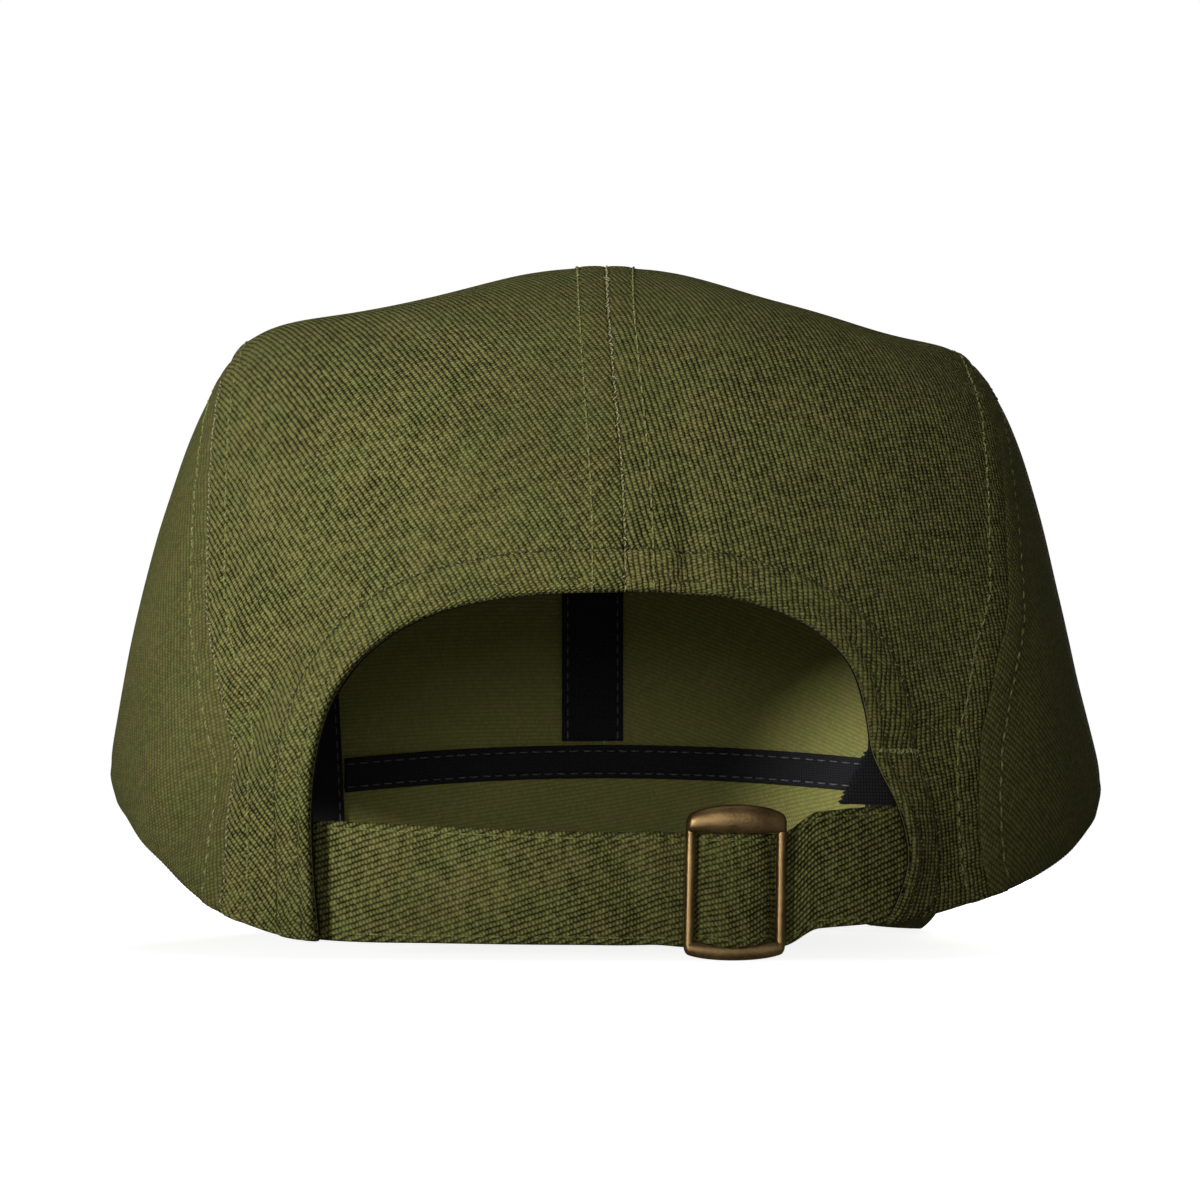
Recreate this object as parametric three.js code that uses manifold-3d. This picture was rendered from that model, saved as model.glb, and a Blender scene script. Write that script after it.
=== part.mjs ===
// Five panel cap in olive cotton twill, as it rests on a flat surface. Units are millimetres.
// +Z is up, the brim points along -Y and the strap with its slide buckle is at the back, along +Y.
// Left and right are the wearer's: left is +X.
import * as THREE from "three";
import { mergeVertices } from "three/addons/utils/BufferGeometryUtils.js";
import Module from "manifold-3d";

const wasm = await Module();
wasm.setup();

// Crown, measured outside and above the surface that the cap rests on.
const CROWN_WIDTH = 187.5;
const CROWN_BACK = 84; // from the widest line to the outermost point of the back
const CROWN_FRONT = 78; // from the widest line to the rim behind the brim
const CROWN_HEIGHT = 129.5;
const RIM_LIFT = 29.5; // the rim's height at the left side, where it is highest
const CLOTH = 1.5; // twill with its seam allowances
const GAP = 0.3; // between pieces that touch

// Level sections of the crown from rim to top: each is a rounded outline, squarer as "square" grows.
// "up" is a share of the height above the rim, "across" of half the width, "back" and "middle" of
// the back depth and "front" of the front depth. "middle" is how far back the widest line sits.
const CROWN_ROWS = [
  { up: 0, across: 0.985, back: 0.988, front: 1, middle: 0, square: 2.35 },
  { up: 0.06, across: 1, back: 0.994, front: 0.985, middle: 0, square: 2.35 },
  { up: 0.15, across: 0.988, back: 1, front: 0.945, middle: 0, square: 2.35 },
  { up: 0.32, across: 0.952, back: 0.973, front: 0.87, middle: 0, square: 2.4 },
  { up: 0.5, across: 0.91, back: 0.911, front: 0.79, middle: 0, square: 2.45 },
  { up: 0.66, across: 0.857, back: 0.827, front: 0.7, middle: 0.01, square: 2.5 },
  { up: 0.79, across: 0.787, back: 0.71, front: 0.57, middle: 0.04, square: 2.6 },
  { up: 0.87, across: 0.7, back: 0.595, front: 0.44, middle: 0.07, square: 2.6 },
  { up: 0.93, across: 0.45, back: 0.464, front: 0.28, middle: 0.1, square: 2.4 },
  { up: 0.98, across: 0.24, back: 0.31, front: 0.1, middle: 0.12, square: 2.2 },
  { up: 1, across: 0.1, back: 0.18, front: -0.04, middle: 0.12, square: 2 },
].map((row, place) => ({ ...row, place }));

// Height of the rim round the cap: "turn" in degrees from the back, and shares of RIM_LIFT on the
// left and on the right.
const RIM_ROWS = [
  { turn: 0, left: 0.09, right: 0.09 },
  { turn: 28, left: 0.1, right: 0.2 },
  { turn: 37, left: 0.19, right: 0.29 },
  { turn: 47, left: 0.38, right: 0.41 },
  { turn: 57, left: 0.59, right: 0.56 },
  { turn: 68, left: 0.81, right: 0.74 },
  { turn: 90, left: 1, right: 0.92 },
  { turn: 108, left: 0.8, right: 0.78 },
  { turn: 124, left: 0.45, right: 0.45 },
  { turn: 138, left: 0.36, right: 0.36 },
  { turn: 180, left: 0.44, right: 0.44 },
];

// Soft dents in the crown: "turn" in degrees from the back towards the left, "place" counts rows of
// CROWN_ROWS, and "depth" is a share of the cloth's thickness, pushed in.
const DENT_ROWS = [
  { turn: -76, place: 7.8, turnReach: 30, placeReach: 1.1, depth: 2.4 },
  { turn: 66, place: 8.2, turnReach: 20, placeReach: 0.8, depth: 1.1 },
  { turn: -92, place: 3.2, turnReach: 26, placeReach: 1.4, depth: 1.1 },
  { turn: -35, place: 3.2, turnReach: 14, placeReach: 1.6, depth: 0.7 },
  { turn: 48, place: 3.6, turnReach: 12, placeReach: 1.4, depth: 0.8 },
];

// Seams. SIDE_SEAM runs from back to front: "along" is a share of the crown's depth from the
// outermost back, "across" of half the width.
const SIDE_SEAM = [
  { along: -0.05, across: 0.64 },
  { along: 0.09, across: 0.66 },
  { along: 0.13, across: 0.7 },
  { along: 0.18, across: 0.745 },
  { along: 0.32, across: 0.755 },
  { along: 0.52, across: 0.75 },
  { along: 0.68, across: 0.73 },
  { along: 0.78, across: 0.71 },
  { along: 0.92, across: 0.69 },
  { along: 1.05, across: 0.68 },
];
const FRONT_SEAM_HEIGHT = 38.6; // at the centre of the cap
const FRONT_SEAM_DROP = 4; // lower near the side seams
const FRONT_SEAM_ENDS = 0.66; // share of half the width where it has dropped that far

// Back opening: straight sides up to the spring, then a rounded arch.
const OPENING_WIDTH = 93;
const OPENING_TOP = 59;
const OPENING_SPRING = 25;
const OPENING_SQUARE = 2.85;

// Black tapes inside.
const TAPE = 1; // thickness
const TAPE_WIDTH = 14; // over the centre and side seams
const TAPE_ASIDE = 2.7; // how far left of its seam the centre tape is sewn
const FRONT_TAPE_WIDTH = 7.8;
const FACING_WIDTH = 8;
const FOLD_TOP = 34; // the folded end of the facing
const FOLD_REACH = 8; // into the opening, at its lower end
const FOLD_TIP = 2.7; // into the opening, at its upper end

// Strap. "across" is a share of half the opening, towards the left; "low" and "high" are shares of
// the strap's width above the surface.
const STRAP_WIDTH = 19;
const STRAP_CLOTH = 1.6;
const STRAP_TUCK = 8.5; // hidden inside the crown at each end
const STRAP_SETBACK = 2.2; // further in than the facing, because the rim curls inwards
const STRAP_ROWS = [
  { across: -1.4, low: 0.34, high: 1.34 },
  { across: -1, low: 0.3, high: 1.3 },
  { across: -0.66, low: 0.24, high: 1.22 },
  { across: -0.2, low: 0.13, high: 1.08 },
  { across: 0.1, low: 0.125, high: 1.07 },
  { across: 0.6, low: 0.135, high: 1.12 },
  { across: 1, low: 0.155, high: 1.17 },
  { across: 1.4, low: 0.28, high: 1.2 },
];

// Slide buckle: a frame in front of the strap, and a centre bar that the strap passes over.
const BUCKLE_WIDTH = 16.3;
const BUCKLE_SIDE_BAR = 1.6;
const BUCKLE_TOP_BAR = 4;
const BUCKLE_BOTTOM_BAR = 3;
const BUCKLE_THICK = 1.8;
const BUCKLE_CROWNING = 0.8; // how far the top and bottom bars stand proud of the side bars
const BUCKLE_CENTRE_BAR = 2.4;
const BUCKLE_ACROSS = -20.4; // its middle, to the right of the cap's centre
const BUCKLE_LEAN = -0.025; // sideways for each millimetre up
const BUCKLE_ROUNDING = 0.36; // of the top and bottom bars' front corners, a share of their height
const STRAP_GATHER = 0.88; // share of its width that the strap takes up inside the slide
const STRAP_GATHER_START = 0.9; // where it is gathered in full and where it is free again, in
const STRAP_GATHER_END = 1.7; // half widths of the buckle from its middle
const STRAP_BULGE = 2.6; // how far it stands forward over the centre bar

// Brim. In BRIM_EDGE "round" runs from the middle of the outer edge to its end, and "lift" is a
// share of BRIM_ARCH, the height of the edge's underside at the middle.
const BRIM_LENGTH = 62;
const BRIM_FLARE = 4; // how much further out its edge runs than its ends
const BRIM_THICK = 3;
const BRIM_ARCH = 8.5;
const BRIM_TURN = 50; // degrees to each side of the front where it joins the rim
const BRIM_END = 1.5; // width of its narrow ends
const BRIM_UNDERLAP = 4; // under the crown's wall
const BRIM_SEAT = 0.3; // further below the rim, whose inner edge dips
const BRIM_SQUARE = 2.3;
const BRIM_PRESS = 1.5; // how much its resting edges are flattened
const BRIM_FALL = 1.5; // above one, it levels out towards its edge
const BRIM_EDGE = [
  { round: 0, lift: 1 },
  { round: 0.35, lift: 0.78 },
  { round: 0.62, lift: 0.16 },
  { round: 0.7, lift: 0.06 },
  { round: 0.8, lift: 0.1 },
  { round: 1, lift: 1 },
];

// Fineness of the facets.
const SPOKES = 56;
const RINGS = 17;
const SEAM_STEPS = 24;
const ARCH_STEPS = 20;
const STRAP_STEPS = 52;
const BRIM_STEPS_ROUND = 28;
const BRIM_STEPS_OUT = 7;

const FAR = 2 * CROWN_WIDTH; // beyond the whole cap
const WALL_INSIDE = CLOTH + GAP; // outer face of what lies against the wall
const TAPE_INSIDE = WALL_INSIDE + TAPE; // inner face of a tape
const CROWN_DEPTH = CROWN_BACK + CROWN_FRONT;

const twill = new THREE.MeshStandardMaterial({ color: 0x5b5a35, roughness: 0.92 });
const blackTape = new THREE.MeshStandardMaterial({ color: 0x0d0d0e, roughness: 0.85 });
const brass = new THREE.MeshStandardMaterial({ color: 0x7a6238, roughness: 0.35, metalness: 1 });

// Smooth value of a column where the rising column "key" has the value "at".
function lookUp(rows, key, column, at) {
  const last = rows.length - 1;
  const slope = (index) => {
    const before = rows[Math.max(index - 1, 0)];
    const after = rows[Math.min(index + 1, last)];
    return (after[column] - before[column]) / (after[key] - before[key]);
  };
  let start = 0;
  while (start < last - 1 && rows[start + 1][key] < at) start += 1;
  const low = rows[start];
  const high = rows[start + 1];
  const span = high[key] - low[key];
  const share = THREE.MathUtils.clamp((at - low[key]) / span, 0, 1);
  const rest = 1 - share;
  return (
    low[column] * rest * rest * (1 + 2 * share) +
    high[column] * share * share * (3 - 2 * share) +
    slope(start) * span * share * rest * rest -
    slope(start + 1) * span * share * share * rest
  );
}

const signedPower = (value, power) => Math.sign(value) * Math.abs(value) ** power;

const toRadians = THREE.MathUtils.degToRad;

// Turn in degrees brought between -180 and 180, positive towards the left.
function wrapped(turn) {
  return THREE.MathUtils.euclideanModulo(turn + 180, 360) - 180;
}

function rimHeight(turn) {
  const side = wrapped(turn);
  return RIM_LIFT * lookUp(RIM_ROWS, "turn", side < 0 ? "right" : "left", Math.abs(side));
}

function smoothCrown(turn, place) {
  const section = (column) => lookUp(CROWN_ROWS, "place", column, place);
  const power = 2 / section("square");
  const cosine = Math.cos(toRadians(turn));
  const middle = CROWN_BACK * section("middle");
  const reach =
    cosine > 0 ? CROWN_BACK * section("back") - middle : CROWN_FRONT * section("front") + middle;
  const rim = rimHeight(turn);
  return new THREE.Vector3(
    (CROWN_WIDTH / 2) * section("across") * signedPower(Math.sin(toRadians(turn)), power),
    middle + reach * signedPower(cosine, power),
    rim + section("up") * (CROWN_HEIGHT - rim),
  );
}

// Direction out of the crown.
function crownNormal(turn, place) {
  const turnStep = 1;
  const placeStep = 0.05;
  const lower = Math.max(place - placeStep, 0);
  const upper = Math.min(place + placeStep, CROWN_ROWS.length - 1);
  const round = smoothCrown(turn + turnStep, place).sub(smoothCrown(turn - turnStep, place));
  const rise = smoothCrown(turn, upper).sub(smoothCrown(turn, lower));
  return rise.cross(round).normalize();
}

// Point of the crown's outer face, or "inside" further in.
function crownPoint(turn, place, inside) {
  const dent = DENT_ROWS.reduce((sum, row) => {
    const aside = wrapped(turn - row.turn) / row.turnReach;
    const above = (place - row.place) / row.placeReach;
    return sum + row.depth * CLOTH * Math.exp(-aside * aside - above * above);
  }, 0);
  return smoothCrown(turn, place).addScaledVector(crownNormal(turn, place), -inside - dent);
}

// Closed mesh of vertices and triangles as a solid.
function solidOf(vertices, triangles) {
  return new wasm.Manifold(
    new wasm.Mesh({
      numProp: 3,
      vertProperties: new Float32Array(vertices.flatMap((point) => point.toArray())),
      triVerts: new Uint32Array(triangles.flat()),
    }),
  );
}

function solidOfGeometry(geometry) {
  geometry.deleteAttribute("normal");
  geometry.deleteAttribute("uv");
  const merged = mergeVertices(geometry);
  return new wasm.Manifold(
    new wasm.Mesh({
      numProp: 3,
      vertProperties: merged.attributes.position.array,
      triVerts: new Uint32Array(merged.index.array),
    }),
  );
}

// Dome between two depths inside the crown's outer face, open at the rim.
function dome(outerInside, innerInside) {
  const vertices = [];
  const triangles = [];
  const top = CROWN_ROWS.length - 1;
  const ringStart = (layer, ring) => (layer * (RINGS + 1) + ring) * SPOKES;
  for (const inside of [outerInside, innerInside]) {
    for (let ring = 0; ring <= RINGS; ring += 1) {
      for (let spoke = 0; spoke < SPOKES; spoke += 1) {
        vertices.push(crownPoint((360 * spoke) / SPOKES, (top * ring) / RINGS, inside));
      }
    }
  }
  const quad = (a, b, c, d, flip) => {
    triangles.push(flip ? [a, c, b] : [a, b, c], flip ? [a, d, c] : [a, c, d]);
  };
  for (let layer = 0; layer < 2; layer += 1) {
    const apex = vertices.length;
    const lastRing = ringStart(layer, RINGS);
    const sum = new THREE.Vector3();
    for (let spoke = 0; spoke < SPOKES; spoke += 1) sum.add(vertices[lastRing + spoke]);
    vertices.push(sum.divideScalar(SPOKES));
    for (let spoke = 0; spoke < SPOKES; spoke += 1) {
      const next = (spoke + 1) % SPOKES;
      for (let ring = 0; ring < RINGS; ring += 1) {
        const low = ringStart(layer, ring);
        const high = ringStart(layer, ring + 1);
        quad(low + spoke, high + spoke, high + next, low + next, layer === 1);
      }
      const inward = [lastRing + spoke, apex, lastRing + next];
      triangles.push(layer === 1 ? inward.reverse() : inward);
    }
  }
  for (let spoke = 0; spoke < SPOKES; spoke += 1) {
    const next = (spoke + 1) % SPOKES;
    quad(spoke, next, ringStart(1, 0) + next, ringStart(1, 0) + spoke, false);
  }
  return solidOf(vertices, triangles);
}

// Outline in X and Z, run along Y from one place to another.
function prismAlongY(outline, from, to) {
  const geometry = new THREE.ExtrudeGeometry(new THREE.Shape(outline), {
    depth: to - from,
    bevelEnabled: false,
  });
  geometry.rotateX(Math.PI / 2);
  geometry.translate(0, to, 0);
  return solidOfGeometry(geometry);
}

// Outline in X and Y, run through the whole height.
function prismAlongZ(outline) {
  const geometry = new THREE.ExtrudeGeometry(new THREE.Shape(outline), {
    depth: 2 * FAR,
    bevelEnabled: false,
  });
  geometry.translate(0, 0, -FAR);
  return solidOfGeometry(geometry);
}

// Side seam's line in plan, "aside" further out, from back to front.
function sideSeamLine(side, aside) {
  const points = [];
  const first = SIDE_SEAM[0].along;
  const last = SIDE_SEAM[SIDE_SEAM.length - 1].along;
  for (let step = 0; step <= SEAM_STEPS; step += 1) {
    const along = THREE.MathUtils.lerp(first, last, step / SEAM_STEPS);
    const across = (CROWN_WIDTH / 2) * lookUp(SIDE_SEAM, "along", "across", along);
    points.push(new THREE.Vector2(side * (across + aside), CROWN_BACK - along * CROWN_DEPTH));
  }
  return points;
}

function outsideSeam(side, aside) {
  const line = sideSeamLine(side, aside);
  const back = line[0];
  const front = line[line.length - 1];
  return prismAlongZ([
    new THREE.Vector2(side * FAR, back.y),
    ...line,
    new THREE.Vector2(side * FAR, front.y),
  ]);
}

// Everything between the two side seams, as far as "aside" from them.
function betweenSeams(aside) {
  return prismAlongZ([...sideSeamLine(1, aside), ...sideSeamLine(-1, aside).reverse()]);
}

function bandOnSeam(side, width) {
  return prismAlongZ([
    ...sideSeamLine(side, width / 2),
    ...sideSeamLine(side, -width / 2).reverse(),
  ]);
}

// Height of the front seam, "above" it, at a place across the cap.
function frontSeamHeight(across, above) {
  const share = across / ((CROWN_WIDTH / 2) * FRONT_SEAM_ENDS);
  return FRONT_SEAM_HEIGHT + above - FRONT_SEAM_DROP * share ** 2;
}

// Front of the cap up to a line beside the front seam.
function belowFrontSeam(above) {
  const points = [];
  for (let step = 0; step <= SEAM_STEPS; step += 1) {
    const across = (CROWN_WIDTH / 2) * (1 - (2 * step) / SEAM_STEPS);
    points.push(new THREE.Vector2(across, frontSeamHeight(across, above)));
  }
  points.push(new THREE.Vector2(-CROWN_WIDTH / 2, -FAR), new THREE.Vector2(CROWN_WIDTH / 2, -FAR));
  return prismAlongY(points, -FAR, 0);
}

// Outline of the back opening in X and Z, "wider" all round.
function openingOutline(wider) {
  const half = OPENING_WIDTH / 2 + wider;
  const rise = OPENING_TOP - OPENING_SPRING + wider;
  const power = 2 / OPENING_SQUARE;
  const points = [new THREE.Vector2(half, -FAR)];
  for (let step = 0; step <= ARCH_STEPS; step += 1) {
    const angle = (Math.PI * step) / ARCH_STEPS;
    points.push(
      new THREE.Vector2(
        half * signedPower(Math.cos(angle), power),
        OPENING_SPRING + rise * Math.abs(Math.sin(angle)) ** power,
      ),
    );
  }
  points.push(new THREE.Vector2(-half, -FAR));
  return points;
}

const openingPrism = (wider) => prismAlongY(openingOutline(wider), 0, FAR);

function slab(low, high, back, front) {
  return prismAlongZ([
    new THREE.Vector2(low, front),
    new THREE.Vector2(high, front),
    new THREE.Vector2(high, back),
    new THREE.Vector2(low, back),
  ]);
}

function meshOf(name, solid, material) {
  const made = solid.getMesh();
  const geometry = new THREE.BufferGeometry();
  geometry.setAttribute("position", new THREE.BufferAttribute(made.vertProperties, 3));
  geometry.setIndex(new THREE.BufferAttribute(made.triVerts, 1));
  geometry.computeVertexNormals();
  const mesh = new THREE.Mesh(geometry, material);
  mesh.name = name;
  return mesh;
}

function crownPanels() {
  const wall = dome(0, CLOTH);
  const top = wall
    .intersect(betweenSeams(-GAP / 2))
    .subtract(belowFrontSeam(GAP / 2))
    .subtract(openingPrism(0));
  return [
    meshOf(
      "front_panel",
      wall.intersect(betweenSeams(-GAP / 2)).intersect(belowFrontSeam(-GAP / 2)),
      twill,
    ),
    meshOf("top_panel_left", top.intersect(slab(GAP / 2, FAR, FAR, -FAR)), twill),
    meshOf("top_panel_right", top.intersect(slab(-FAR, -GAP / 2, FAR, -FAR)), twill),
    meshOf("side_panel_left", wall.intersect(outsideSeam(1, GAP / 2)), twill),
    meshOf("side_panel_right", wall.intersect(outsideSeam(-1, GAP / 2)), twill),
  ];
}

function seamTapes() {
  const layer = dome(WALL_INSIDE, TAPE_INSIDE);
  const besideSideTapes = betweenSeams(-TAPE_WIDTH / 2 - GAP);
  const facingReach = openingPrism(FACING_WIDTH + GAP);
  const centre = layer
    .intersect(slab(TAPE_ASIDE - TAPE_WIDTH / 2, TAPE_ASIDE + TAPE_WIDTH / 2, FAR, -FAR))
    .subtract(belowFrontSeam(FRONT_TAPE_WIDTH / 2 + GAP))
    .subtract(facingReach);
  const front = layer
    .intersect(besideSideTapes)
    .intersect(belowFrontSeam(FRONT_TAPE_WIDTH / 2))
    .subtract(belowFrontSeam(-FRONT_TAPE_WIDTH / 2));
  const sideTape = (side) => layer.intersect(bandOnSeam(side, TAPE_WIDTH)).subtract(facingReach);
  return [
    meshOf("seam_tape_centre", centre, blackTape),
    meshOf("seam_tape_front", front, blackTape),
    meshOf("seam_tape_left", sideTape(1), blackTape),
    meshOf("seam_tape_right", sideTape(-1), blackTape),
  ];
}

// Facing inside the hem of the opening, and its folded end above the strap's right end.
function openingFacing() {
  const layer = dome(WALL_INSIDE, TAPE_INSIDE);
  const facing = layer.intersect(openingPrism(FACING_WIDTH)).subtract(openingPrism(0));
  const half = OPENING_WIDTH / 2;
  const strapTop = STRAP_WIDTH * lookUp(STRAP_ROWS, "across", "high", -1) + GAP;
  const triangle = [
    new THREE.Vector2(-half - FACING_WIDTH / 2, strapTop),
    new THREE.Vector2(-half + FOLD_REACH, strapTop),
    new THREE.Vector2(-half + FOLD_TIP, FOLD_TOP),
    new THREE.Vector2(-half - FACING_WIDTH / 2, FOLD_TOP),
  ];
  const fold = dome(TAPE_INSIDE + GAP, TAPE_INSIDE + GAP + TAPE).intersect(
    prismAlongY(triangle, 0, FAR),
  );
  return [
    meshOf("opening_facing", facing, blackTape),
    meshOf("facing_end_fold", fold, blackTape),
  ];
}

// How far back the strap's outer face lies at a place across the cap, away from the buckle. It
// follows the row of CROWN_ROWS at its own height.
function strapLine(across) {
  const low = CROWN_ROWS[2];
  const share = Math.abs(across) / ((CROWN_WIDTH / 2) * low.across);
  const crownBack = CROWN_BACK * low.back * (1 - share ** low.square) ** (1 / low.square);
  return crownBack - TAPE_INSIDE - GAP - STRAP_SETBACK;
}

// Share of the buckle's hold on the strap: one inside its window, none past its sides.
function heldByBuckle(across) {
  const aside = Math.abs(across - BUCKLE_ACROSS) / (BUCKLE_WIDTH / 2);
  return 1 - THREE.MathUtils.smoothstep(aside, STRAP_GATHER_START, STRAP_GATHER_END);
}

// The strap stands forward where it passes over the buckle's centre bar.
function strapBulge(across) {
  const aside = (across - BUCKLE_ACROSS) / (BUCKLE_WIDTH / 2 - BUCKLE_SIDE_BAR);
  return STRAP_BULGE * Math.max(0, 1 - aside * aside) ** 2;
}

const GATHERED_LOW = BUCKLE_BOTTOM_BAR + GAP;
const GATHERED_HIGH = GATHERED_LOW + STRAP_WIDTH * STRAP_GATHER;

function backStrap() {
  const end = OPENING_WIDTH / 2 + STRAP_TUCK;
  const vertices = [];
  const triangles = [];
  for (let step = 0; step <= STRAP_STEPS; step += 1) {
    const across = THREE.MathUtils.lerp(-end, end, step / STRAP_STEPS);
    const share = across / (OPENING_WIDTH / 2);
    const held = heldByBuckle(across);
    const freeLow = STRAP_WIDTH * lookUp(STRAP_ROWS, "across", "low", share);
    const freeHigh = STRAP_WIDTH * lookUp(STRAP_ROWS, "across", "high", share);
    const low = THREE.MathUtils.lerp(freeLow, GATHERED_LOW, held);
    const high = THREE.MathUtils.lerp(freeHigh, GATHERED_HIGH, held);
    const outer = strapLine(across) + strapBulge(across);
    const inner = outer - STRAP_CLOTH;
    vertices.push(
      new THREE.Vector3(across, outer, low),
      new THREE.Vector3(across, outer, high),
      new THREE.Vector3(across, inner, high),
      new THREE.Vector3(across, inner, low),
    );
  }
  for (let step = 0; step < STRAP_STEPS; step += 1) {
    for (let corner = 0; corner < 4; corner += 1) {
      const here = step * 4 + corner;
      const beside = step * 4 + ((corner + 1) % 4);
      triangles.push([here, beside + 4, here + 4], [here, beside, beside + 4]);
    }
  }
  const last = STRAP_STEPS * 4;
  triangles.push([0, 2, 1], [0, 3, 2], [last, last + 1, last + 2], [last, last + 2, last + 3]);
  return meshOf("back_strap", solidOf(vertices, triangles), twill);
}

function box(width, depth, height, across, out, up) {
  const geometry = new THREE.BoxGeometry(width, depth, height);
  geometry.translate(across, out, up);
  return solidOfGeometry(geometry);
}

// Bar along X that is flat behind and rounded in front, from one height up.
function roundedBar(width, height, depth, behind, low) {
  const round = height * BUCKLE_ROUNDING;
  const profile = new THREE.Shape();
  profile.moveTo(0, 0);
  profile.lineTo(depth - round, 0);
  profile.quadraticCurveTo(depth, 0, depth, round);
  profile.lineTo(depth, height - round);
  profile.quadraticCurveTo(depth, height, depth - round, height);
  profile.lineTo(0, height);
  const geometry = new THREE.ExtrudeGeometry(profile, {
    depth: width,
    bevelEnabled: false,
    curveSegments: 5,
  });
  geometry.rotateX(Math.PI / 2);
  geometry.rotateZ(Math.PI / 2);
  geometry.translate(-width / 2, behind, low);
  return solidOfGeometry(geometry);
}

// The buckle's own frame: X across, Y out from the strap's outer face, Z up from the surface.
function slideBuckle() {
  const half = BUCKLE_WIDTH / 2;
  const windowTop = GATHERED_HIGH + GAP;
  const height = windowTop + BUCKLE_TOP_BAR;
  const inBars = (BUCKLE_BOTTOM_BAR + BUCKLE_TOP_BAR) / 2;
  const tall = height - inBars;
  const middle = (BUCKLE_BOTTOM_BAR / 2 + height - BUCKLE_TOP_BAR / 2) / 2;
  const centreFront = STRAP_BULGE - STRAP_CLOTH - 2 * GAP;
  const barOut = GAP + BUCKLE_THICK / 2;
  const sideAcross = half - BUCKLE_SIDE_BAR / 2;
  const proud = BUCKLE_THICK + BUCKLE_CROWNING;
  const solid = roundedBar(BUCKLE_WIDTH, BUCKLE_BOTTOM_BAR, proud, GAP, 0)
    .add(roundedBar(BUCKLE_WIDTH, BUCKLE_TOP_BAR, proud, GAP, windowTop))
    .add(box(BUCKLE_SIDE_BAR, BUCKLE_THICK, tall, sideAcross, barOut, middle))
    .add(box(BUCKLE_SIDE_BAR, BUCKLE_THICK, tall, -sideAcross, barOut, middle))
    .add(box(BUCKLE_CENTRE_BAR, BUCKLE_THICK, tall, 0, centreFront - BUCKLE_THICK / 2, middle));
  const mesh = meshOf("slide_buckle", solid, brass);
  const lean = new THREE.Matrix4().set(
    ...[1, 0, BUCKLE_LEAN, -BUCKLE_LEAN * (height / 2)],
    ...[0, 1, 0, 0],
    ...[0, 0, 1, 0],
    ...[0, 0, 0, 1],
  );
  mesh.geometry.applyMatrix4(lean);
  const slope = (strapLine(BUCKLE_ACROSS + half) - strapLine(BUCKLE_ACROSS - half)) / BUCKLE_WIDTH;
  mesh.rotation.z = Math.atan(slope);
  mesh.position.set(BUCKLE_ACROSS, strapLine(BUCKLE_ACROSS), 0);
  return mesh;
}

// Stiffened peak: rows run from under the rim out to the edge, each from right to left.
function brim() {
  const rootAt = (round, inside) => {
    const turn = 180 - BRIM_TURN * round;
    const point = crownPoint(turn, 0, inside);
    point.z = rimHeight(turn) - GAP - BRIM_SEAT - BRIM_THICK;
    return point;
  };
  const end = rootAt(1, 0);
  const tipDepth = -CROWN_FRONT - BRIM_LENGTH;
  const edgeAt = (round) => {
    const angle = (Math.PI / 2) * round;
    const power = 2 / BRIM_SQUARE;
    const half = end.x + BRIM_END + BRIM_FLARE * Math.cos(angle);
    return new THREE.Vector3(
      half * signedPower(Math.sin(angle), power),
      THREE.MathUtils.lerp(end.y, tipDepth, Math.cos(angle) ** power),
      BRIM_ARCH * lookUp(BRIM_EDGE, "round", "lift", Math.abs(round)),
    );
  };
  const columns = BRIM_STEPS_ROUND + 1;
  const rows = BRIM_STEPS_OUT + 2;
  const vertices = [];
  for (const thickness of [0, BRIM_THICK]) {
    for (let row = 0; row < rows; row += 1) {
      for (let column = 0; column < columns; column += 1) {
        const round = (2 * column) / BRIM_STEPS_ROUND - 1;
        const out = Math.max(row - 1, 0) / BRIM_STEPS_OUT;
        const underlap = BRIM_END + (BRIM_UNDERLAP - BRIM_END) * (1 - round * round);
        const root = rootAt(round, row === 0 ? underlap : 0);
        const edge = edgeAt(round);
        const fallen = THREE.MathUtils.lerp(root.z, edge.z, 1 - (1 - out) ** BRIM_FALL);
        const point = root.lerp(edge, out);
        point.z = Math.max(fallen - out * BRIM_PRESS, 0) + thickness;
        vertices.push(point);
      }
    }
  }
  const triangles = [];
  const index = (layer, row, column) => (layer * rows + row) * columns + column;
  const quad = (a, b, c, d) => triangles.push([a, b, c], [a, c, d]);
  for (let row = 0; row < rows - 1; row += 1) {
    for (let column = 0; column < columns - 1; column += 1) {
      const corners = (layer) => [
        index(layer, row, column),
        index(layer, row, column + 1),
        index(layer, row + 1, column + 1),
        index(layer, row + 1, column),
      ];
      quad(...corners(0));
      quad(...corners(1).reverse());
    }
    for (const [column, flip] of [
      [0, false],
      [columns - 1, true],
    ]) {
      const side = [
        index(0, row, column),
        index(0, row + 1, column),
        index(1, row + 1, column),
        index(1, row, column),
      ];
      quad(...(flip ? side.reverse() : side));
    }
  }
  for (let column = 0; column < columns - 1; column += 1) {
    for (const [row, flip] of [
      [0, true],
      [rows - 1, false],
    ]) {
      const side = [
        index(0, row, column),
        index(0, row, column + 1),
        index(1, row, column + 1),
        index(1, row, column),
      ];
      quad(...(flip ? side.reverse() : side));
    }
  }
  return meshOf("brim", solidOf(vertices, triangles), twill);
}

const cap = new THREE.Group();
cap.add(...crownPanels(), ...seamTapes(), ...openingFacing(), backStrap(), slideBuckle(), brim());

// The origin is below the middle of the cap, on the surface that it rests on.
const extent = new THREE.Box3().setFromObject(cap);
const centre = extent.getCenter(new THREE.Vector3());
cap.position.set(-centre.x, -centre.y, -extent.min.z);

export default cap;
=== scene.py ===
"""Five panel cap in olive twill, dressed around its CAD model.

Pieces are worked out in millimetres in the crown's own frame, with +X to the wearer's left, +Y to
the back and +Z up, and placed in the frame's metres when their meshes are made.
"""

import math

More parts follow.
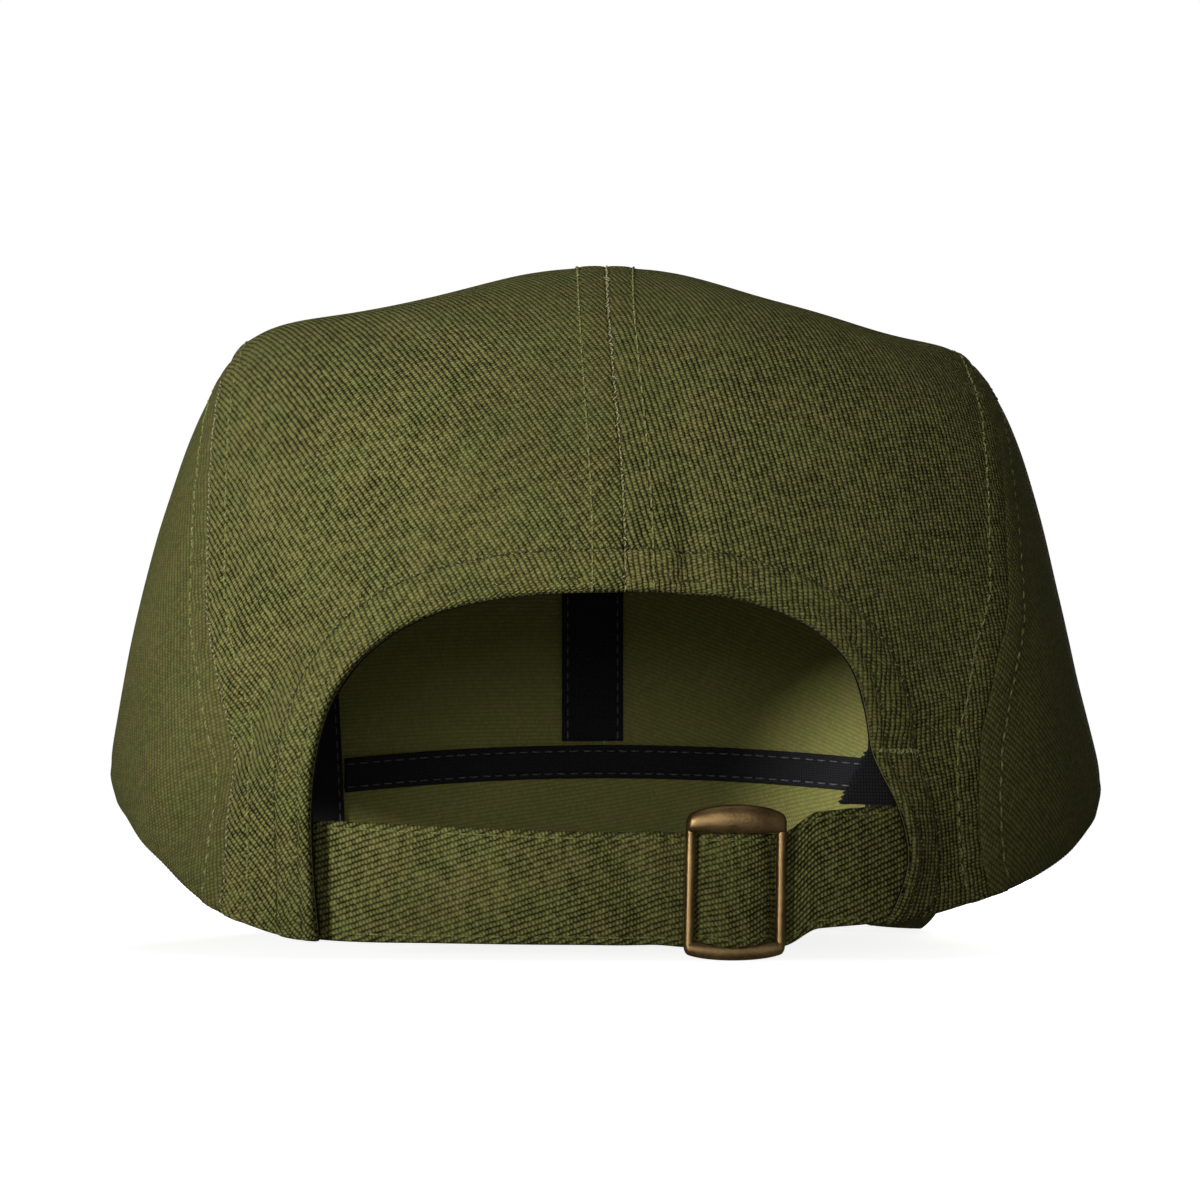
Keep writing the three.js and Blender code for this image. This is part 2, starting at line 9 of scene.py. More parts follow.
import bmesh
import bpy
import numpy as np
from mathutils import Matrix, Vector
from mathutils.geometry import delaunay_2d_cdt
from mathutils.kdtree import KDTree


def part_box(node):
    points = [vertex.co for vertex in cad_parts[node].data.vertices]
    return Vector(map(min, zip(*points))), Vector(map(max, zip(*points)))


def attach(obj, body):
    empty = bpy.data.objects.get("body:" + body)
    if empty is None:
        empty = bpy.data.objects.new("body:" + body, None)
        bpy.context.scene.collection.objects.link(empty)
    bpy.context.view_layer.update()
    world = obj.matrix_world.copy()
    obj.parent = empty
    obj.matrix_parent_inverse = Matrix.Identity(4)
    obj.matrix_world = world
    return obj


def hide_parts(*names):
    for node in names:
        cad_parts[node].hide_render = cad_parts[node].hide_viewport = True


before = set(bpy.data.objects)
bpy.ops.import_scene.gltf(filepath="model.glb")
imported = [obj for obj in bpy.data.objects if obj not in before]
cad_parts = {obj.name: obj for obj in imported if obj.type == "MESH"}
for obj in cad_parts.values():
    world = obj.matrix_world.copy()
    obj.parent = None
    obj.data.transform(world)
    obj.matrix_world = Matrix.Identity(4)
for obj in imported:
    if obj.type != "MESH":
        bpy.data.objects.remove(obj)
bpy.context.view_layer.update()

MM = 0.001
rng = np.random.default_rng(5)


def table(columns, *rows):
    """Rows of numbers as named columns."""
    return {name: np.array(column, float) for name, column in zip(columns.split(), zip(*rows))}


def rows_of(rows):
    """Each row of a table, as its values in the order of the columns."""
    return zip(*rows.values())


# Crown, as the CAD model has it.
CROWN_WIDTH = 187.5
CROWN_BACK = 84
CROWN_FRONT = 78
CROWN_HEIGHT = 129.5
RIM_LIFT = 29.5
CLOTH = 1.5
CROWN_ROWS = table(
    "place up across back front middle square",
    (0, 0, 0.985, 0.988, 1, 0, 2.35),
    (1, 0.06, 1, 0.994, 0.985, 0, 2.35),
    (2, 0.15, 0.988, 1, 0.945, 0, 2.35),
    (3, 0.32, 0.952, 0.973, 0.87, 0, 2.4),
    (4, 0.5, 0.91, 0.911, 0.79, 0, 2.45),
    (5, 0.66, 0.857, 0.827, 0.7, 0.01, 2.5),
    (6, 0.79, 0.787, 0.71, 0.57, 0.04, 2.6),
    (7, 0.87, 0.7, 0.595, 0.44, 0.07, 2.6),
    (8, 0.93, 0.45, 0.464, 0.28, 0.1, 2.4),
    (9, 0.98, 0.24, 0.31, 0.1, 0.12, 2.2),
    (10, 1, 0.1, 0.18, -0.04, 0.12, 2),
)
TOP_PLACE = 10
RIM_ROWS = table(
    "turn left right",
    (0, 0.09, 0.09),
    (28, 0.1, 0.2),
    (37, 0.19, 0.29),
    (47, 0.38, 0.41),
    (57, 0.59, 0.56),
    (68, 0.81, 0.74),
    (90, 1, 0.92),
    (108, 0.8, 0.78),
    (124, 0.45, 0.45),
    (138, 0.36, 0.36),
    (180, 0.44, 0.44),
)
DENT_ROWS = table(
    "turn place turn_reach place_reach depth",
    (-76, 7.8, 30, 1.1, 2.4),
    (66, 8.2, 20, 0.8, 1.1),
    (-92, 3.2, 26, 1.4, 1.1),
    (-35, 3.2, 14, 1.6, 0.7),
    (48, 3.6, 12, 1.4, 0.8),
)
# The cloth's own slack, which the CAD model leaves out.
SLACK_ROWS = table(
    "turn place turn_reach place_reach depth",
    (-84, 8.5, 34, 1.2, 1),
    (40, 6.6, 16, 0.9, 0.35),
    (-38, 6.9, 18, 0.8, 0.4),
)
SIDE_SEAM = table(
    "along across",
    (-0.05, 0.64),
    (0.09, 0.66),
    (0.13, 0.7),
    (0.18, 0.745),
    (0.32, 0.755),
    (0.52, 0.75),
    (0.68, 0.73),
    (0.78, 0.71),
    (0.92, 0.69),
    (1.05, 0.68),
)
FRONT_SEAM_HEIGHT = 38.6
FRONT_SEAM_DROP = 4
FRONT_SEAM_ENDS = 0.66

# Back opening, tapes, strap, slide and brim, as the CAD model has them.
OPENING_WIDTH = 93
OPENING_TOP = 59
OPENING_SPRING = 25
OPENING_SQUARE = 2.85
SEAM_GAP = 0.3
TAPE = 1
TAPE_WIDTH = 14
TAPE_ASIDE = 2.7
FRONT_TAPE_WIDTH = 7.8
FACING_WIDTH = 8
FOLD_TOP = 34
FOLD_REACH = 8
FOLD_TIP = 2.7
STRAP_WIDTH = 19
STRAP_CLOTH = 1.6
STRAP_TUCK = 8.5
STRAP_SETBACK = 2.2
STRAP_ROWS = table(
    "across low high",
    (-1.4, 0.34, 1.34),
    (-1, 0.3, 1.3),
    (-0.66, 0.24, 1.22),
    (-0.2, 0.13, 1.08),
    (0.1, 0.125, 1.07),
    (0.6, 0.135, 1.12),
    (1, 0.155, 1.17),
    (1.4, 0.28, 1.2),
)
STRAP_GATHER = 0.88
STRAP_GATHER_START = 0.9
STRAP_GATHER_END = 1.7
STRAP_BULGE = 2.6
BUCKLE_WIDTH = 16.3
BUCKLE_SIDE_BAR = 1.6
BUCKLE_TOP_BAR = 4
BUCKLE_BOTTOM_BAR = 3
BUCKLE_THICK = 1.8
BUCKLE_CENTRE_BAR = 2.4
BUCKLE_ACROSS = -20.4
BUCKLE_LEAN = -0.025
BRIM_LENGTH = 62
BRIM_FLARE = 4
BRIM_THICK = 3
BRIM_ARCH = 8.5
BRIM_TURN = 50
BRIM_END = 1.5
BRIM_UNDERLAP = 4
BRIM_SEAT = 0.3
BRIM_SQUARE = 2.3
BRIM_PRESS = 1.5
BRIM_FALL = 1.5
BRIM_EDGE = table(
    "round lift",
    (0, 1),
    (0.35, 0.78),
    (0.62, 0.16),
    (0.7, 0.06),
    (0.8, 0.1),
    (1, 1),
)

# Fineness of the cloth's meshes.
CLOTH_STEP = 1.25
EDGE_RINGS = (0.14, 0.42, 0.85)
BISECTIONS = 44
PANEL_GAP = 0.05
DOMAIN_SQUARE = 2.4
MERGE_DISTANCE = 1e-6
SMALLEST_AREA = 1e-7

# How far inside the rim parts of the mesh, tapes and stitches end, and lines that run past it.
GRID_MARGIN = 1
RING_MARGIN = 0.05
RING_CLEARANCE = 0.95
TAPE_MARGIN = 0.6
TAPE_RIM_GAP = 0.9
STITCH_MARGIN = 1.5
TAPE_STITCH_MARGIN = 2
OPENING_OVERRUN = 0.6
HEM_OVERRUN = 1

# Sewing.
HEM_ROW_NEAR = 2.2
HEM_ROW_FAR = 7.3
SEAM_ROWS = {"centre": 5, "left": 4.6, "right": 4.6, "front": 3}
SEAM_ROUNDS = {"centre": 0.12, "left": 0.3, "right": 0.3, "front": 0.3}
BARTACK_HEIGHT = 33.6
BARTACK_REACH = 7
TAPE_ROW = 1.3
FACING_SETBACK = 0.5
STITCH = 2.1
STITCH_GAP = 0.45
THREAD = 0.2
LOOP = 0.55
LOOPS = {
    "length": LOOP,
    "gap": STITCH + STITCH_GAP - LOOP,
    "thread": 0.16,
    "lift": 0.7,
    "wander": 1.4,
}
SEAM_STITCHES = {"length": 0.7, "gap": 0.45, "thread": 0.15, "lift": 0.8, "wander": 1.8}
BARTACK_STITCHES = {"length": 0.7, "gap": 0.1, "thread": 0.22, "wander": 1.2}
TAPE_STITCHES = {"length": 1.9, "gap": 0.9, "thread": 0.17}
STRAP_STITCHES = {"length": 1.9, "gap": 0.5, "thread": 0.17}

WALL_INSIDE = CLOTH + SEAM_GAP
TAPE_INSIDE = WALL_INSIDE + TAPE
CROWN_DEPTH = CROWN_BACK + CROWN_FRONT

brim_low, brim_high = (np.array(corner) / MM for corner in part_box("brim"))
strap_low, strap_high = (np.array(corner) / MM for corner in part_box("back_strap"))
# Place of the crown's own frame in the CAD model.
SHIFT = np.array(
    [(strap_low[0] + strap_high[0]) / 2, brim_low[1] + CROWN_FRONT + BRIM_LENGTH, 0.0]
)


def slopes_of(keys, values, flat_end):
    slopes = np.empty_like(values)
    slopes[1:-1] = (values[2:] - values[:-2]) / (keys[2:] - keys[:-2])
    slopes[0] = (values[1] - values[0]) / (keys[1] - keys[0])
    slopes[-1] = 0 if flat_end else (values[-1] - values[-2]) / (keys[-1] - keys[-2])
    return slopes


def look_up(rows, key, column, at, flat_end=False):
    """Smooth value of a column where the rising column "key" has the value "at"."""
    keys, values = rows[key], rows[column]
    slopes = slopes_of(keys, values, flat_end)
    start = np.clip(np.searchsorted(keys, at) - 1, 0, len(keys) - 2)
    span = keys[start + 1] - keys[start]
    share = np.clip((at - keys[start]) / span, 0, 1)
    rest = 1 - share
    return (
        values[start] * rest**2 * (1 + 2 * share)
        + values[start + 1] * share**2 * (3 - 2 * share)
        + slopes[start] * span * share * rest**2
        - slopes[start + 1] * span * share**2 * rest
    )


def smooth_step(low, high, value):
    share = np.clip((value - low) / (high - low), 0, 1)
    return share**2 * (3 - 2 * share)


def bell(value, reach):
    return np.exp(-((value / reach) ** 2))


def signed_power(value, power):
    return np.sign(value) * np.abs(value) ** power


def wrapped(turn):
    return (turn + 180) % 360 - 180


def unit(vectors):
    return vectors / np.maximum(np.linalg.norm(vectors, axis=-1, keepdims=True), 1e-12)


def run_of(line):
    """How far along a line of points each one lies."""
    return np.concatenate([[0.0], np.cumsum(np.linalg.norm(np.diff(line, axis=0), axis=1))])


def rim_height(turn):
    side = wrapped(turn)
    left = look_up(RIM_ROWS, "turn", "left", np.abs(side))
    right = look_up(RIM_ROWS, "turn", "right", np.abs(side))
    return RIM_LIFT * np.where(side < 0, right, left)


def smooth_crown(turn, place):
    """Points of the crown's outer face at turns from the back, in degrees, and places up."""
    angle = np.radians(turn)
    power = 2 / look_up(CROWN_ROWS, "place", "square", place)
    middle = CROWN_BACK * look_up(CROWN_ROWS, "place", "middle", place)
    back = CROWN_BACK * look_up(CROWN_ROWS, "place", "back", place) - middle
    front = CROWN_FRONT * look_up(CROWN_ROWS, "place", "front", place) + middle
    across = (CROWN_WIDTH / 2) * look_up(CROWN_ROWS, "place", "across", place)
    rim = rim_height(turn)
    up = look_up(CROWN_ROWS, "place", "up", place, flat_end=True)
    cosine = np.cos(angle)
    return np.stack(
        [
            across * signed_power(np.sin(angle), power),
            middle + np.where(cosine > 0, back, front) * signed_power(cosine, power),
            rim + up * (CROWN_HEIGHT - rim),
        ],
        axis=-1,
    )


# The crown is drawn flat on a disc: spots on it have the apex in the middle, the back along +V and
# the left along +U, and lie about as far apart as on the crown.
def radius_table():
    places = np.linspace(0, TOP_PLACE, 401)
    lengths = np.zeros(len(places))
    for turn in (0, 90):
        line = smooth_crown(np.full(len(places), float(turn)), places)
        steps = np.linalg.norm(np.diff(line, axis=0), axis=1)
        lengths[1:] += np.cumsum(steps) / 2
    ring = smooth_crown(np.arange(0, 360, 10.0), np.full(36, float(TOP_PLACE)))
    apex = ring.mean(axis=0)
    cap = np.linalg.norm(ring - apex, axis=1).mean()
    return places, cap + lengths[-1] - lengths, cap, apex


PLACES, RADII, CAP_RADIUS, APEX = radius_table()
RIM_RADIUS = RADII[0]


def spot_of(turn, place):
    angle = np.radians(turn)
    u = signed_power(np.sin(angle), 2 / DOMAIN_SQUARE)
    v = signed_power(np.cos(angle), 2 / DOMAIN_SQUARE)
    radius = np.interp(place, PLACES, RADII)
    return np.stack([u, v], axis=-1) * (radius / np.hypot(u, v))[..., None]


def turn_and_place(spots):
    u, v = spots[:, 0], spots[:, 1]
    radius = np.maximum(np.hypot(u, v), 1e-9)
    sine = signed_power(u / radius, DOMAIN_SQUARE / 2)
    cosine = signed_power(v / radius, DOMAIN_SQUARE / 2)
    turn = np.degrees(np.arctan2(sine, cosine))
    return turn, np.interp(radius, RADII[::-1], PLACES[::-1]), radius


def crown(spots):
    """Smooth outer face of the crown at spots on the disc."""
    turn, place, radius = turn_and_place(spots)
    inner = np.clip(radius / CAP_RADIUS, 0, 1)[:, None]
    return APEX + (smooth_crown(turn, place) - APEX) * inner


def slopes_at(spots):
    step = 0.4
    along_u = (crown(spots + [step, 0]) - crown(spots - [step, 0])) / (2 * step)
    along_v = (crown(spots + [0, step]) - crown(spots - [0, step])) / (2 * step)
    return along_u, along_v


def crown_normals(spots):
    along_u, along_v = slopes_at(spots)
    return unit(np.cross(along_u, along_v))


def dents(spots):
    """How far the crown is dented in."""
    turn, place, _ = turn_and_place(spots)
    total = np.zeros(len(spots))
    for rows in (DENT_ROWS, SLACK_ROWS):
        for at_turn, at_place, turn_reach, place_reach, depth in rows_of(rows):
            aside = wrapped(turn - at_turn) / turn_reach
            above = (place - at_place) / place_reach
            total += depth * CLOTH * np.exp(-(aside**2) - above**2)
    return total


def within_rim(spots, margin):
    """The spots that lie inside the rim by more than a margin."""
    return spots[np.hypot(*spots.T) < RIM_RADIUS - margin]


def bisect(low, high, test):
    """Where a rising test turns positive, for many at once."""
    low, high = np.array(low, float), np.array(high, float)
    for _ in range(BISECTIONS):
        middle = (low + high) / 2
        above = test(middle) > 0
        high = np.where(above, middle, high)
        low = np.where(above, low, middle)
    return (low + high) / 2


def resampled(line, step):
    along = run_of(line)
    count = max(int(round(along[-1] / step)), 2) + 1
    at = np.linspace(0, along[-1], count)
    return np.stack([np.interp(at, along, line[:, axis]) for axis in range(line.shape[1])], axis=1)


def seam_across(depth):
    along = (CROWN_BACK - depth) / CROWN_DEPTH
    return (CROWN_WIDTH / 2) * look_up(SIDE_SEAM, "along", "across", along)


def outside_seam(point):
    return np.abs(point[..., 0]) - seam_across(point[..., 1])


def side_seam_spots(side):
    """Side seam on the disc, from the back rim over the shoulder to the front rim."""
    highest = bisect(
        [4.0], [9.0], lambda place: -outside_seam(smooth_crown(np.full(1, 90.0), place))
    )[0]
    place = highest * np.sin(np.linspace(0, math.pi / 2, 160))
    back = bisect(
        np.full(160, 1.0), np.full(160, 90.0), lambda turn: outside_seam(smooth_crown(turn, place))
    )
    front = bisect(
        np.full(160, 1.0),
        np.full(160, 90.0),
        lambda turn: outside_seam(smooth_crown(180 - turn, place)),
    )
    spots = np.concatenate([spot_of(back, place), spot_of(180 - front, place)[::-1][1:]])
    return resampled(spots * [side, 1], CLOTH_STEP)


def front_seam_height(across):
    share = across / ((CROWN_WIDTH / 2) * FRONT_SEAM_ENDS)
    return FRONT_SEAM_HEIGHT - FRONT_SEAM_DROP * share**2


def above_front_seam(point):
    return point[..., 2] - front_seam_height(point[..., 0])


def front_seam_spots():
    """Front seam on the disc, from left to right, up to the side seams."""
    turn = np.linspace(105, 255, 300)
    place = bisect(
        np.zeros(300), np.full(300, 8.0), lambda at: above_front_seam(smooth_crown(turn, at))
    )
    between = outside_seam(smooth_crown(turn, place)) < 0.8
    return resampled(spot_of(turn, place)[between], CLOTH_STEP)


def spot_behind(across, height):
    """Spot on the back of the crown at places across and up."""

    def place_at(turn):
        rim = rim_height(turn)
        up = (height - rim) / (CROWN_HEIGHT - rim)
        return np.interp(up, UP_SHARES, PLACES)

    turn = bisect(
        np.full(len(across), -88.0),
        np.full(len(across), 88.0),
        lambda at: smooth_crown(at, place_at(at))[:, 0] - across,
    )
    return spot_of(turn, place_at(turn))


UP_SHARES = look_up(CROWN_ROWS, "place", "up", PLACES, flat_end=True)


def opening_spots():
    """Edge of the back opening on the disc, from the left rim over the arch to the right rim."""
    half = OPENING_WIDTH / 2
    rise = OPENING_TOP - OPENING_SPRING
    angle = np.linspace(0, math.pi, 240)
    power = 2 / OPENING_SQUARE
    across = half * signed_power(np.cos(angle), power)
    height = OPENING_SPRING + rise * np.abs(np.sin(angle)) ** power
    arch = spot_behind(across, height)
    legs = []
    for side in (1, -1):
        low = np.linspace(0, OPENING_SPRING, 40)[:-1]
        leg = spot_behind(np.full(len(low), side * half), low)
        legs.append(within_rim(leg, 1e-6))
    start, end = legs[0], legs[1][::-1]
    beyond = RIM_RADIUS + OPENING_OVERRUN
    start = np.concatenate([[start[0] * beyond / np.hypot(*start[0])], start])
    end = np.concatenate([end, [end[-1] * beyond / np.hypot(*end[-1])]])
    return resampled(np.concatenate([start, arch, end]), CLOTH_STEP)


def inside_opening(point):
    share = np.clip(np.abs(point[..., 0]) / (OPENING_WIDTH / 2), 0, 1)
    top = OPENING_SPRING + (OPENING_TOP - OPENING_SPRING) * (1 - share**OPENING_SQUARE) ** (
        1 / OPENING_SQUARE
    )
    within = (np.abs(point[..., 0]) < OPENING_WIDTH / 2) & (point[..., 2] < top)
    return within & (point[..., 1] > 0)


def rim_spots():
    count = int(2 * math.pi * RIM_RADIUS / (CLOTH_STEP * 1.4))
    turn = np.linspace(0, 360, count + 1)
    angle = np.radians(turn)
    return RIM_RADIUS * np.stack([np.sin(angle), np.cos(angle)], axis=1)


def beside(line, distance):
    """Line of spots moved sideways over the crown, to the left of its way when positive."""
    count = max(int(math.ceil(np.max(np.abs(distance)) / 1.5)), 1)
    for _ in range(count):
        way = unit(np.gradient(line, axis=0))
        along_u, along_v = slopes_at(line)
        uu = (along_u**2).sum(axis=1)
        uv = (along_u * along_v).sum(axis=1)
        vv = (along_v**2).sum(axis=1)
        left = np.stack([-way[:, 1], way[:, 0]], axis=1)
        aside = np.stack(
            [vv * left[:, 0] - uv * left[:, 1], uu * left[:, 1] - uv * left[:, 0]], axis=1
        )
        reach = np.linalg.norm(along_u * aside[:, :1] + along_v * aside[:, 1:], axis=1)
        line = line + aside / reach[:, None] * (np.reshape(distance, (-1, 1)) / count)
    return line


def nearest_on(line, points):
    """Distance from points to a line in space, and how far along it each one lies."""
    steps = np.linalg.norm(np.diff(line, axis=0), axis=1)
    starts = np.concatenate([[0.0], np.cumsum(steps)])
    squares = (line**2).sum(axis=1)
    best = np.empty(len(points), int)
    for first in range(0, len(points), 8192):
        part = points[first : first + 8192]
        best[first : first + 8192] = np.argmin(squares - 2 * part @ line.T, axis=1)
    distance = np.full(len(points), np.inf)
    along = np.zeros(len(points))
    for offset in (-1, 0):
        at = np.clip(best + offset, 0, len(line) - 2)
        edge = line[at + 1] - line[at]
        share = np.clip(((points - line[at]) * edge).sum(axis=1) / (edge**2).sum(axis=1), 0, 1)
        gap = np.linalg.norm(points - line[at] - share[:, None] * edge, axis=1)
        closer = gap < distance
        distance = np.where(closer, gap, distance)
        along = np.where(closer, starts[at] + share * steps[at], along)
    return distance, along


OPENING = opening_spots()
SIDE_SEAMS = {1: side_seam_spots(1), -1: side_seam_spots(-1)}
FRONT_SEAM = front_seam_spots()
RIM = rim_spots()


def centre_seam_spots():
    top = OPENING[np.argmin(np.abs(OPENING[:, 0]))][1]
    front = FRONT_SEAM[np.argmin(np.abs(FRONT_SEAM[:, 0]))][1]
    depth = np.linspace(top + 0.4, front - 0.4, int((top - front) / CLOTH_STEP))
    return np.stack([np.zeros(len(depth)), depth], axis=1)


CENTRE_SEAM = centre_seam_spots()
LINES = {
    "opening": crown(OPENING),
    "centre": crown(CENTRE_SEAM),
    "left": crown(SIDE_SEAMS[1]),
    "right": crown(SIDE_SEAMS[-1]),
    "front": crown(FRONT_SEAM),
    "rim": crown(RIM),
}

FOLD_FADE = 26
# Soft folds that only show as shade: "across" and "up" in millimetres, as seen from behind, how far
# they reach along and over their run, the run's lean in degrees and how far they stand out.
FOLD_ROWS = table(
    "across up reach_along reach_over lean out",
    (-10.2, 63, 5, 0.8, 92, -1.1),
    (-11.6, 68, 10, 2.6, 98, -1.2),
    (-15.5, 68, 11, 2.6, 96, 0.7),
    (-7, 74, 14, 4, 92, 0.35),
    (58, 42, 15, 5.5, 62, -2.1),
    (68, 28, 14, 5, 62, -1.6),
    (56, 26, 15, 5, 62, 0.7),
    (-58, 111, 17, 9, -20, -2.0),
    (46, 118, 16, 8, 15, -0.9),
    (-58, 52, 22, 7, 100, -1.2),
    (-52, 34, 12, 4, 18, -0.7),
    (-53, 40, 14, 4, 30, 0.7),
    (-60, 20, 16, 5, 80, -0.8),
    (56, 16, 14, 5, 95, -0.6),
    (28, 80, 26, 10, 20, -0.7),
    (-34, 86, 24, 12, -15, -0.6),
)


def waves(points, length, amount):
    """Gentle unevenness."""
    x, y, z = (points * (2 * math.pi / length)).T
    total = np.sin(x * 0.9 + 1.7 * np.sin(z * 0.61) + y * 0.35)
    total += np.sin(z * 1.1 + 1.3 * np.sin(y * 0.7 + x * 0.4) + 2.1)
    total += np.sin(y * 0.8 - z * 0.5 + 1.9 * np.sin(x * 0.53) + 4.0)
    return amount * total / 3


def folds(points):
    """How far the folds at the back stand out; they fade towards the front."""
    total = np.zeros(len(points))
    behind = smooth_step(0, FOLD_FADE, points[:, 1])
    for at_across, at_up, reach_along, reach_over, degrees, out in rows_of(FOLD_ROWS):
        lean = math.radians(degrees)
        across = points[:, 0] - at_across
        up = points[:, 2] - at_up
        along = -across * math.cos(lean) + up * math.sin(lean)
        over = -across * math.sin(lean) - up * math.cos(lean)
        total += out * (bell(along, reach_along) * bell(over, reach_over))
    return total * behind


def seam_relief(distance, along, row):
    """Relief beside a sewn seam with a stitch row at each side."""
    valley = -0.12 * bell(distance, 0.7)
    allowance = 0.3 * (1 - smooth_step(row - 0.2, row + 1.1, distance))
    pulled = -0.34 * bell(distance - row, 0.4)
    ripple = np.sin(along * (2 * math.pi / 7.3) + 1.6 * np.sin(along / 9.1))
    ripple += 0.5 * np.sin(along * (2 * math.pi / 3.9) + 1.1)
    return valley + allowance + pulled + 0.13 * ripple * bell(distance - row * 0.55, row * 0.7)


def hem_relief(distance, along):
    """Relief of the folded hem along the opening."""
    raised = 0.55 * (1 - smooth_step(HEM_ROW_FAR - 0.3, HEM_ROW_FAR + 0.7, distance))
    pulled = -0.5 * bell(distance - HEM_ROW_NEAR, 0.42) - 0.5 * bell(distance - HEM_ROW_FAR, 0.42)
    roll = 0.3 * bell(distance - 1.0, 0.8)
    slant = along + 0.5 * distance
    ripple = np.sin(slant * (2 * math.pi / 5.3) + 1.4 * np.sin(slant / 7.7))
    ripple += 0.6 * np.sin(slant * (2 * math.pi / 2.9) + 0.6)
    between = bell(distance - (HEM_ROW_NEAR + HEM_ROW_FAR) / 2, 2.9)
    return raised + pulled + roll + 0.12 * ripple * between


def relief(points, spots):
    """How far the cloth's outer face stands out of the smooth crown, with its edges rounded."""
    total = waves(points, 62, 0.35) + waves(points + 31, 24, 0.1)
    drop = np.zeros(len(points))
    for name in ("centre", "left", "right", "front"):
        distance, along = nearest_on(LINES[name], points)
        total += seam_relief(distance, along, SEAM_ROWS[name])
        drop = np.maximum(drop, rounding(distance, SEAM_ROUNDS[name], SEAM_ROUNDS[name]))
    distance, along = nearest_on(LINES["opening"], points)
    total += hem_relief(distance, along)
    drop = np.maximum(drop, rounding(distance, CLOTH / 2, CLOTH / 2))
    distance, along = nearest_on(LINES["rim"], points)
    total += 0.3 * (1 - smooth_step(4.5, 6, distance))
    drop = np.maximum(drop, rounding(distance, CLOTH / 2, CLOTH / 2))
    return total + folds(points) - dents(spots) - drop


def rounding(distance, reach, depth):
    """How far a rounded edge falls away at a distance from it."""
    near = np.clip(1 - distance / reach, 0, 1)
    return depth * (1 - np.sqrt(1 - near**2))


# The opening's edges aren't straight: "up" in millimetres and how far each moves to the left.
RIGHT_EDGE = table(
    "up left",
    (0, 3.6),
    (4, 2.6),
    (9, 0.2),
    (16, -1.6),
    (24, -0.6),
    (30, 1.6),
    (34, 2.7),
    (40, 2.2),
    (48, 0.6),
    (56, 0),
)
LEFT_EDGE = table(
    "up left",
    (0, -0.4),
    (10, 0.6),
    (24, 1.4),
    (36, 0.8),
    (50, 0),
)


# How far the centre seam leans to the right as it comes down.
SEAM_LEAN = 2.9
CURL = 1.7
CURL_HEIGHT = 16
CURL_REACH = 12
SWAY_REACH = 14
SWAY_TOP = 57


def edge_sway(points, normals):
    """Moves cloth beside the opening's legs sideways and out, as its hem curls; leans the seam."""
    moved = points.copy()
    right = look_up(RIGHT_EDGE, "up", "left", points[:, 2])
    left = look_up(LEFT_EDGE, "up", "left", points[:, 2])
    beyond = np.abs(points[:, 0]) - OPENING_WIDTH / 2
    near = 1 - smooth_step(0, SWAY_REACH, beyond)
    near = near * (points[:, 1] > 0) * (points[:, 2] < SWAY_TOP)
    sideways = np.where(points[:, 0] < 0, right, left)
    moved[:, 0] += sideways * near
    lean = SEAM_LEAN * (1 - smooth_step(64, 122, points[:, 2])) * bell(points[:, 0], 24)
    moved[:, 0] -= lean * (points[:, 1] > 0)
    flare = CURL * bell(points[:, 2] - CURL_HEIGHT, CURL_REACH)
    flare = flare * (1 - smooth_step(0, 6, beyond)) * near
    return moved + normals * np.where(points[:, 0] < 0, flare, 0.25 * flare)[:, None]


def crown_surface(spots):
    """Points and normals of the cloth's outer face."""
    base = crown(spots)
    normals = crown_normals(spots)
    outer = base + normals * relief(base, spots)[:, None]
    return edge_sway(outer, normals), normals


def backing_surface(spots, inside, swayed=True):
    """Points and normals of what lies against the crown's inner face."""
    base = crown(spots)
    normals = crown_normals(spots)
    soft = waves(base, 62, 0.35) + folds(base) * 0.6 - dents(spots)
    points = base + normals * (soft - np.reshape(inside, (-1,)))[:, None]
    return (edge_sway(points, normals) if swayed else points), normals


# Meshes.
def add_object(name, data):
    thing = bpy.data.objects.new(name, data)
    bpy.context.scene.collection.objects.link(thing)
    return thing


def make_piece(name, points, faces, materials, replaces=(), cloth=None, kinds=None):
    """Mesh object in the frame, from points in the crown's frame in millimetres."""
    mesh = bpy.data.meshes.new(name)
    mesh.from_pydata(((points + SHIFT) * MM).tolist(), [], faces)
    mesh.update()
    for material in materials:
        mesh.materials.append(material)
    mesh.polygons.foreach_set("use_smooth", np.ones(len(mesh.polygons), bool))
    if kinds is not None:
        mesh.polygons.foreach_set("material_index", np.asarray(kinds, np.int32))
    if cloth is not None:
        layer = mesh.attributes.new("cloth", "FLOAT_VECTOR", "POINT")
        flat = np.zeros((len(points), 3), np.float32)
        flat[:, :2] = cloth * MM
        layer.data.foreach_set("vector", flat.ravel())
    piece = add_object(name, mesh)
    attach(piece, "root")
    if replaces:
        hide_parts(*replaces)
    return piece


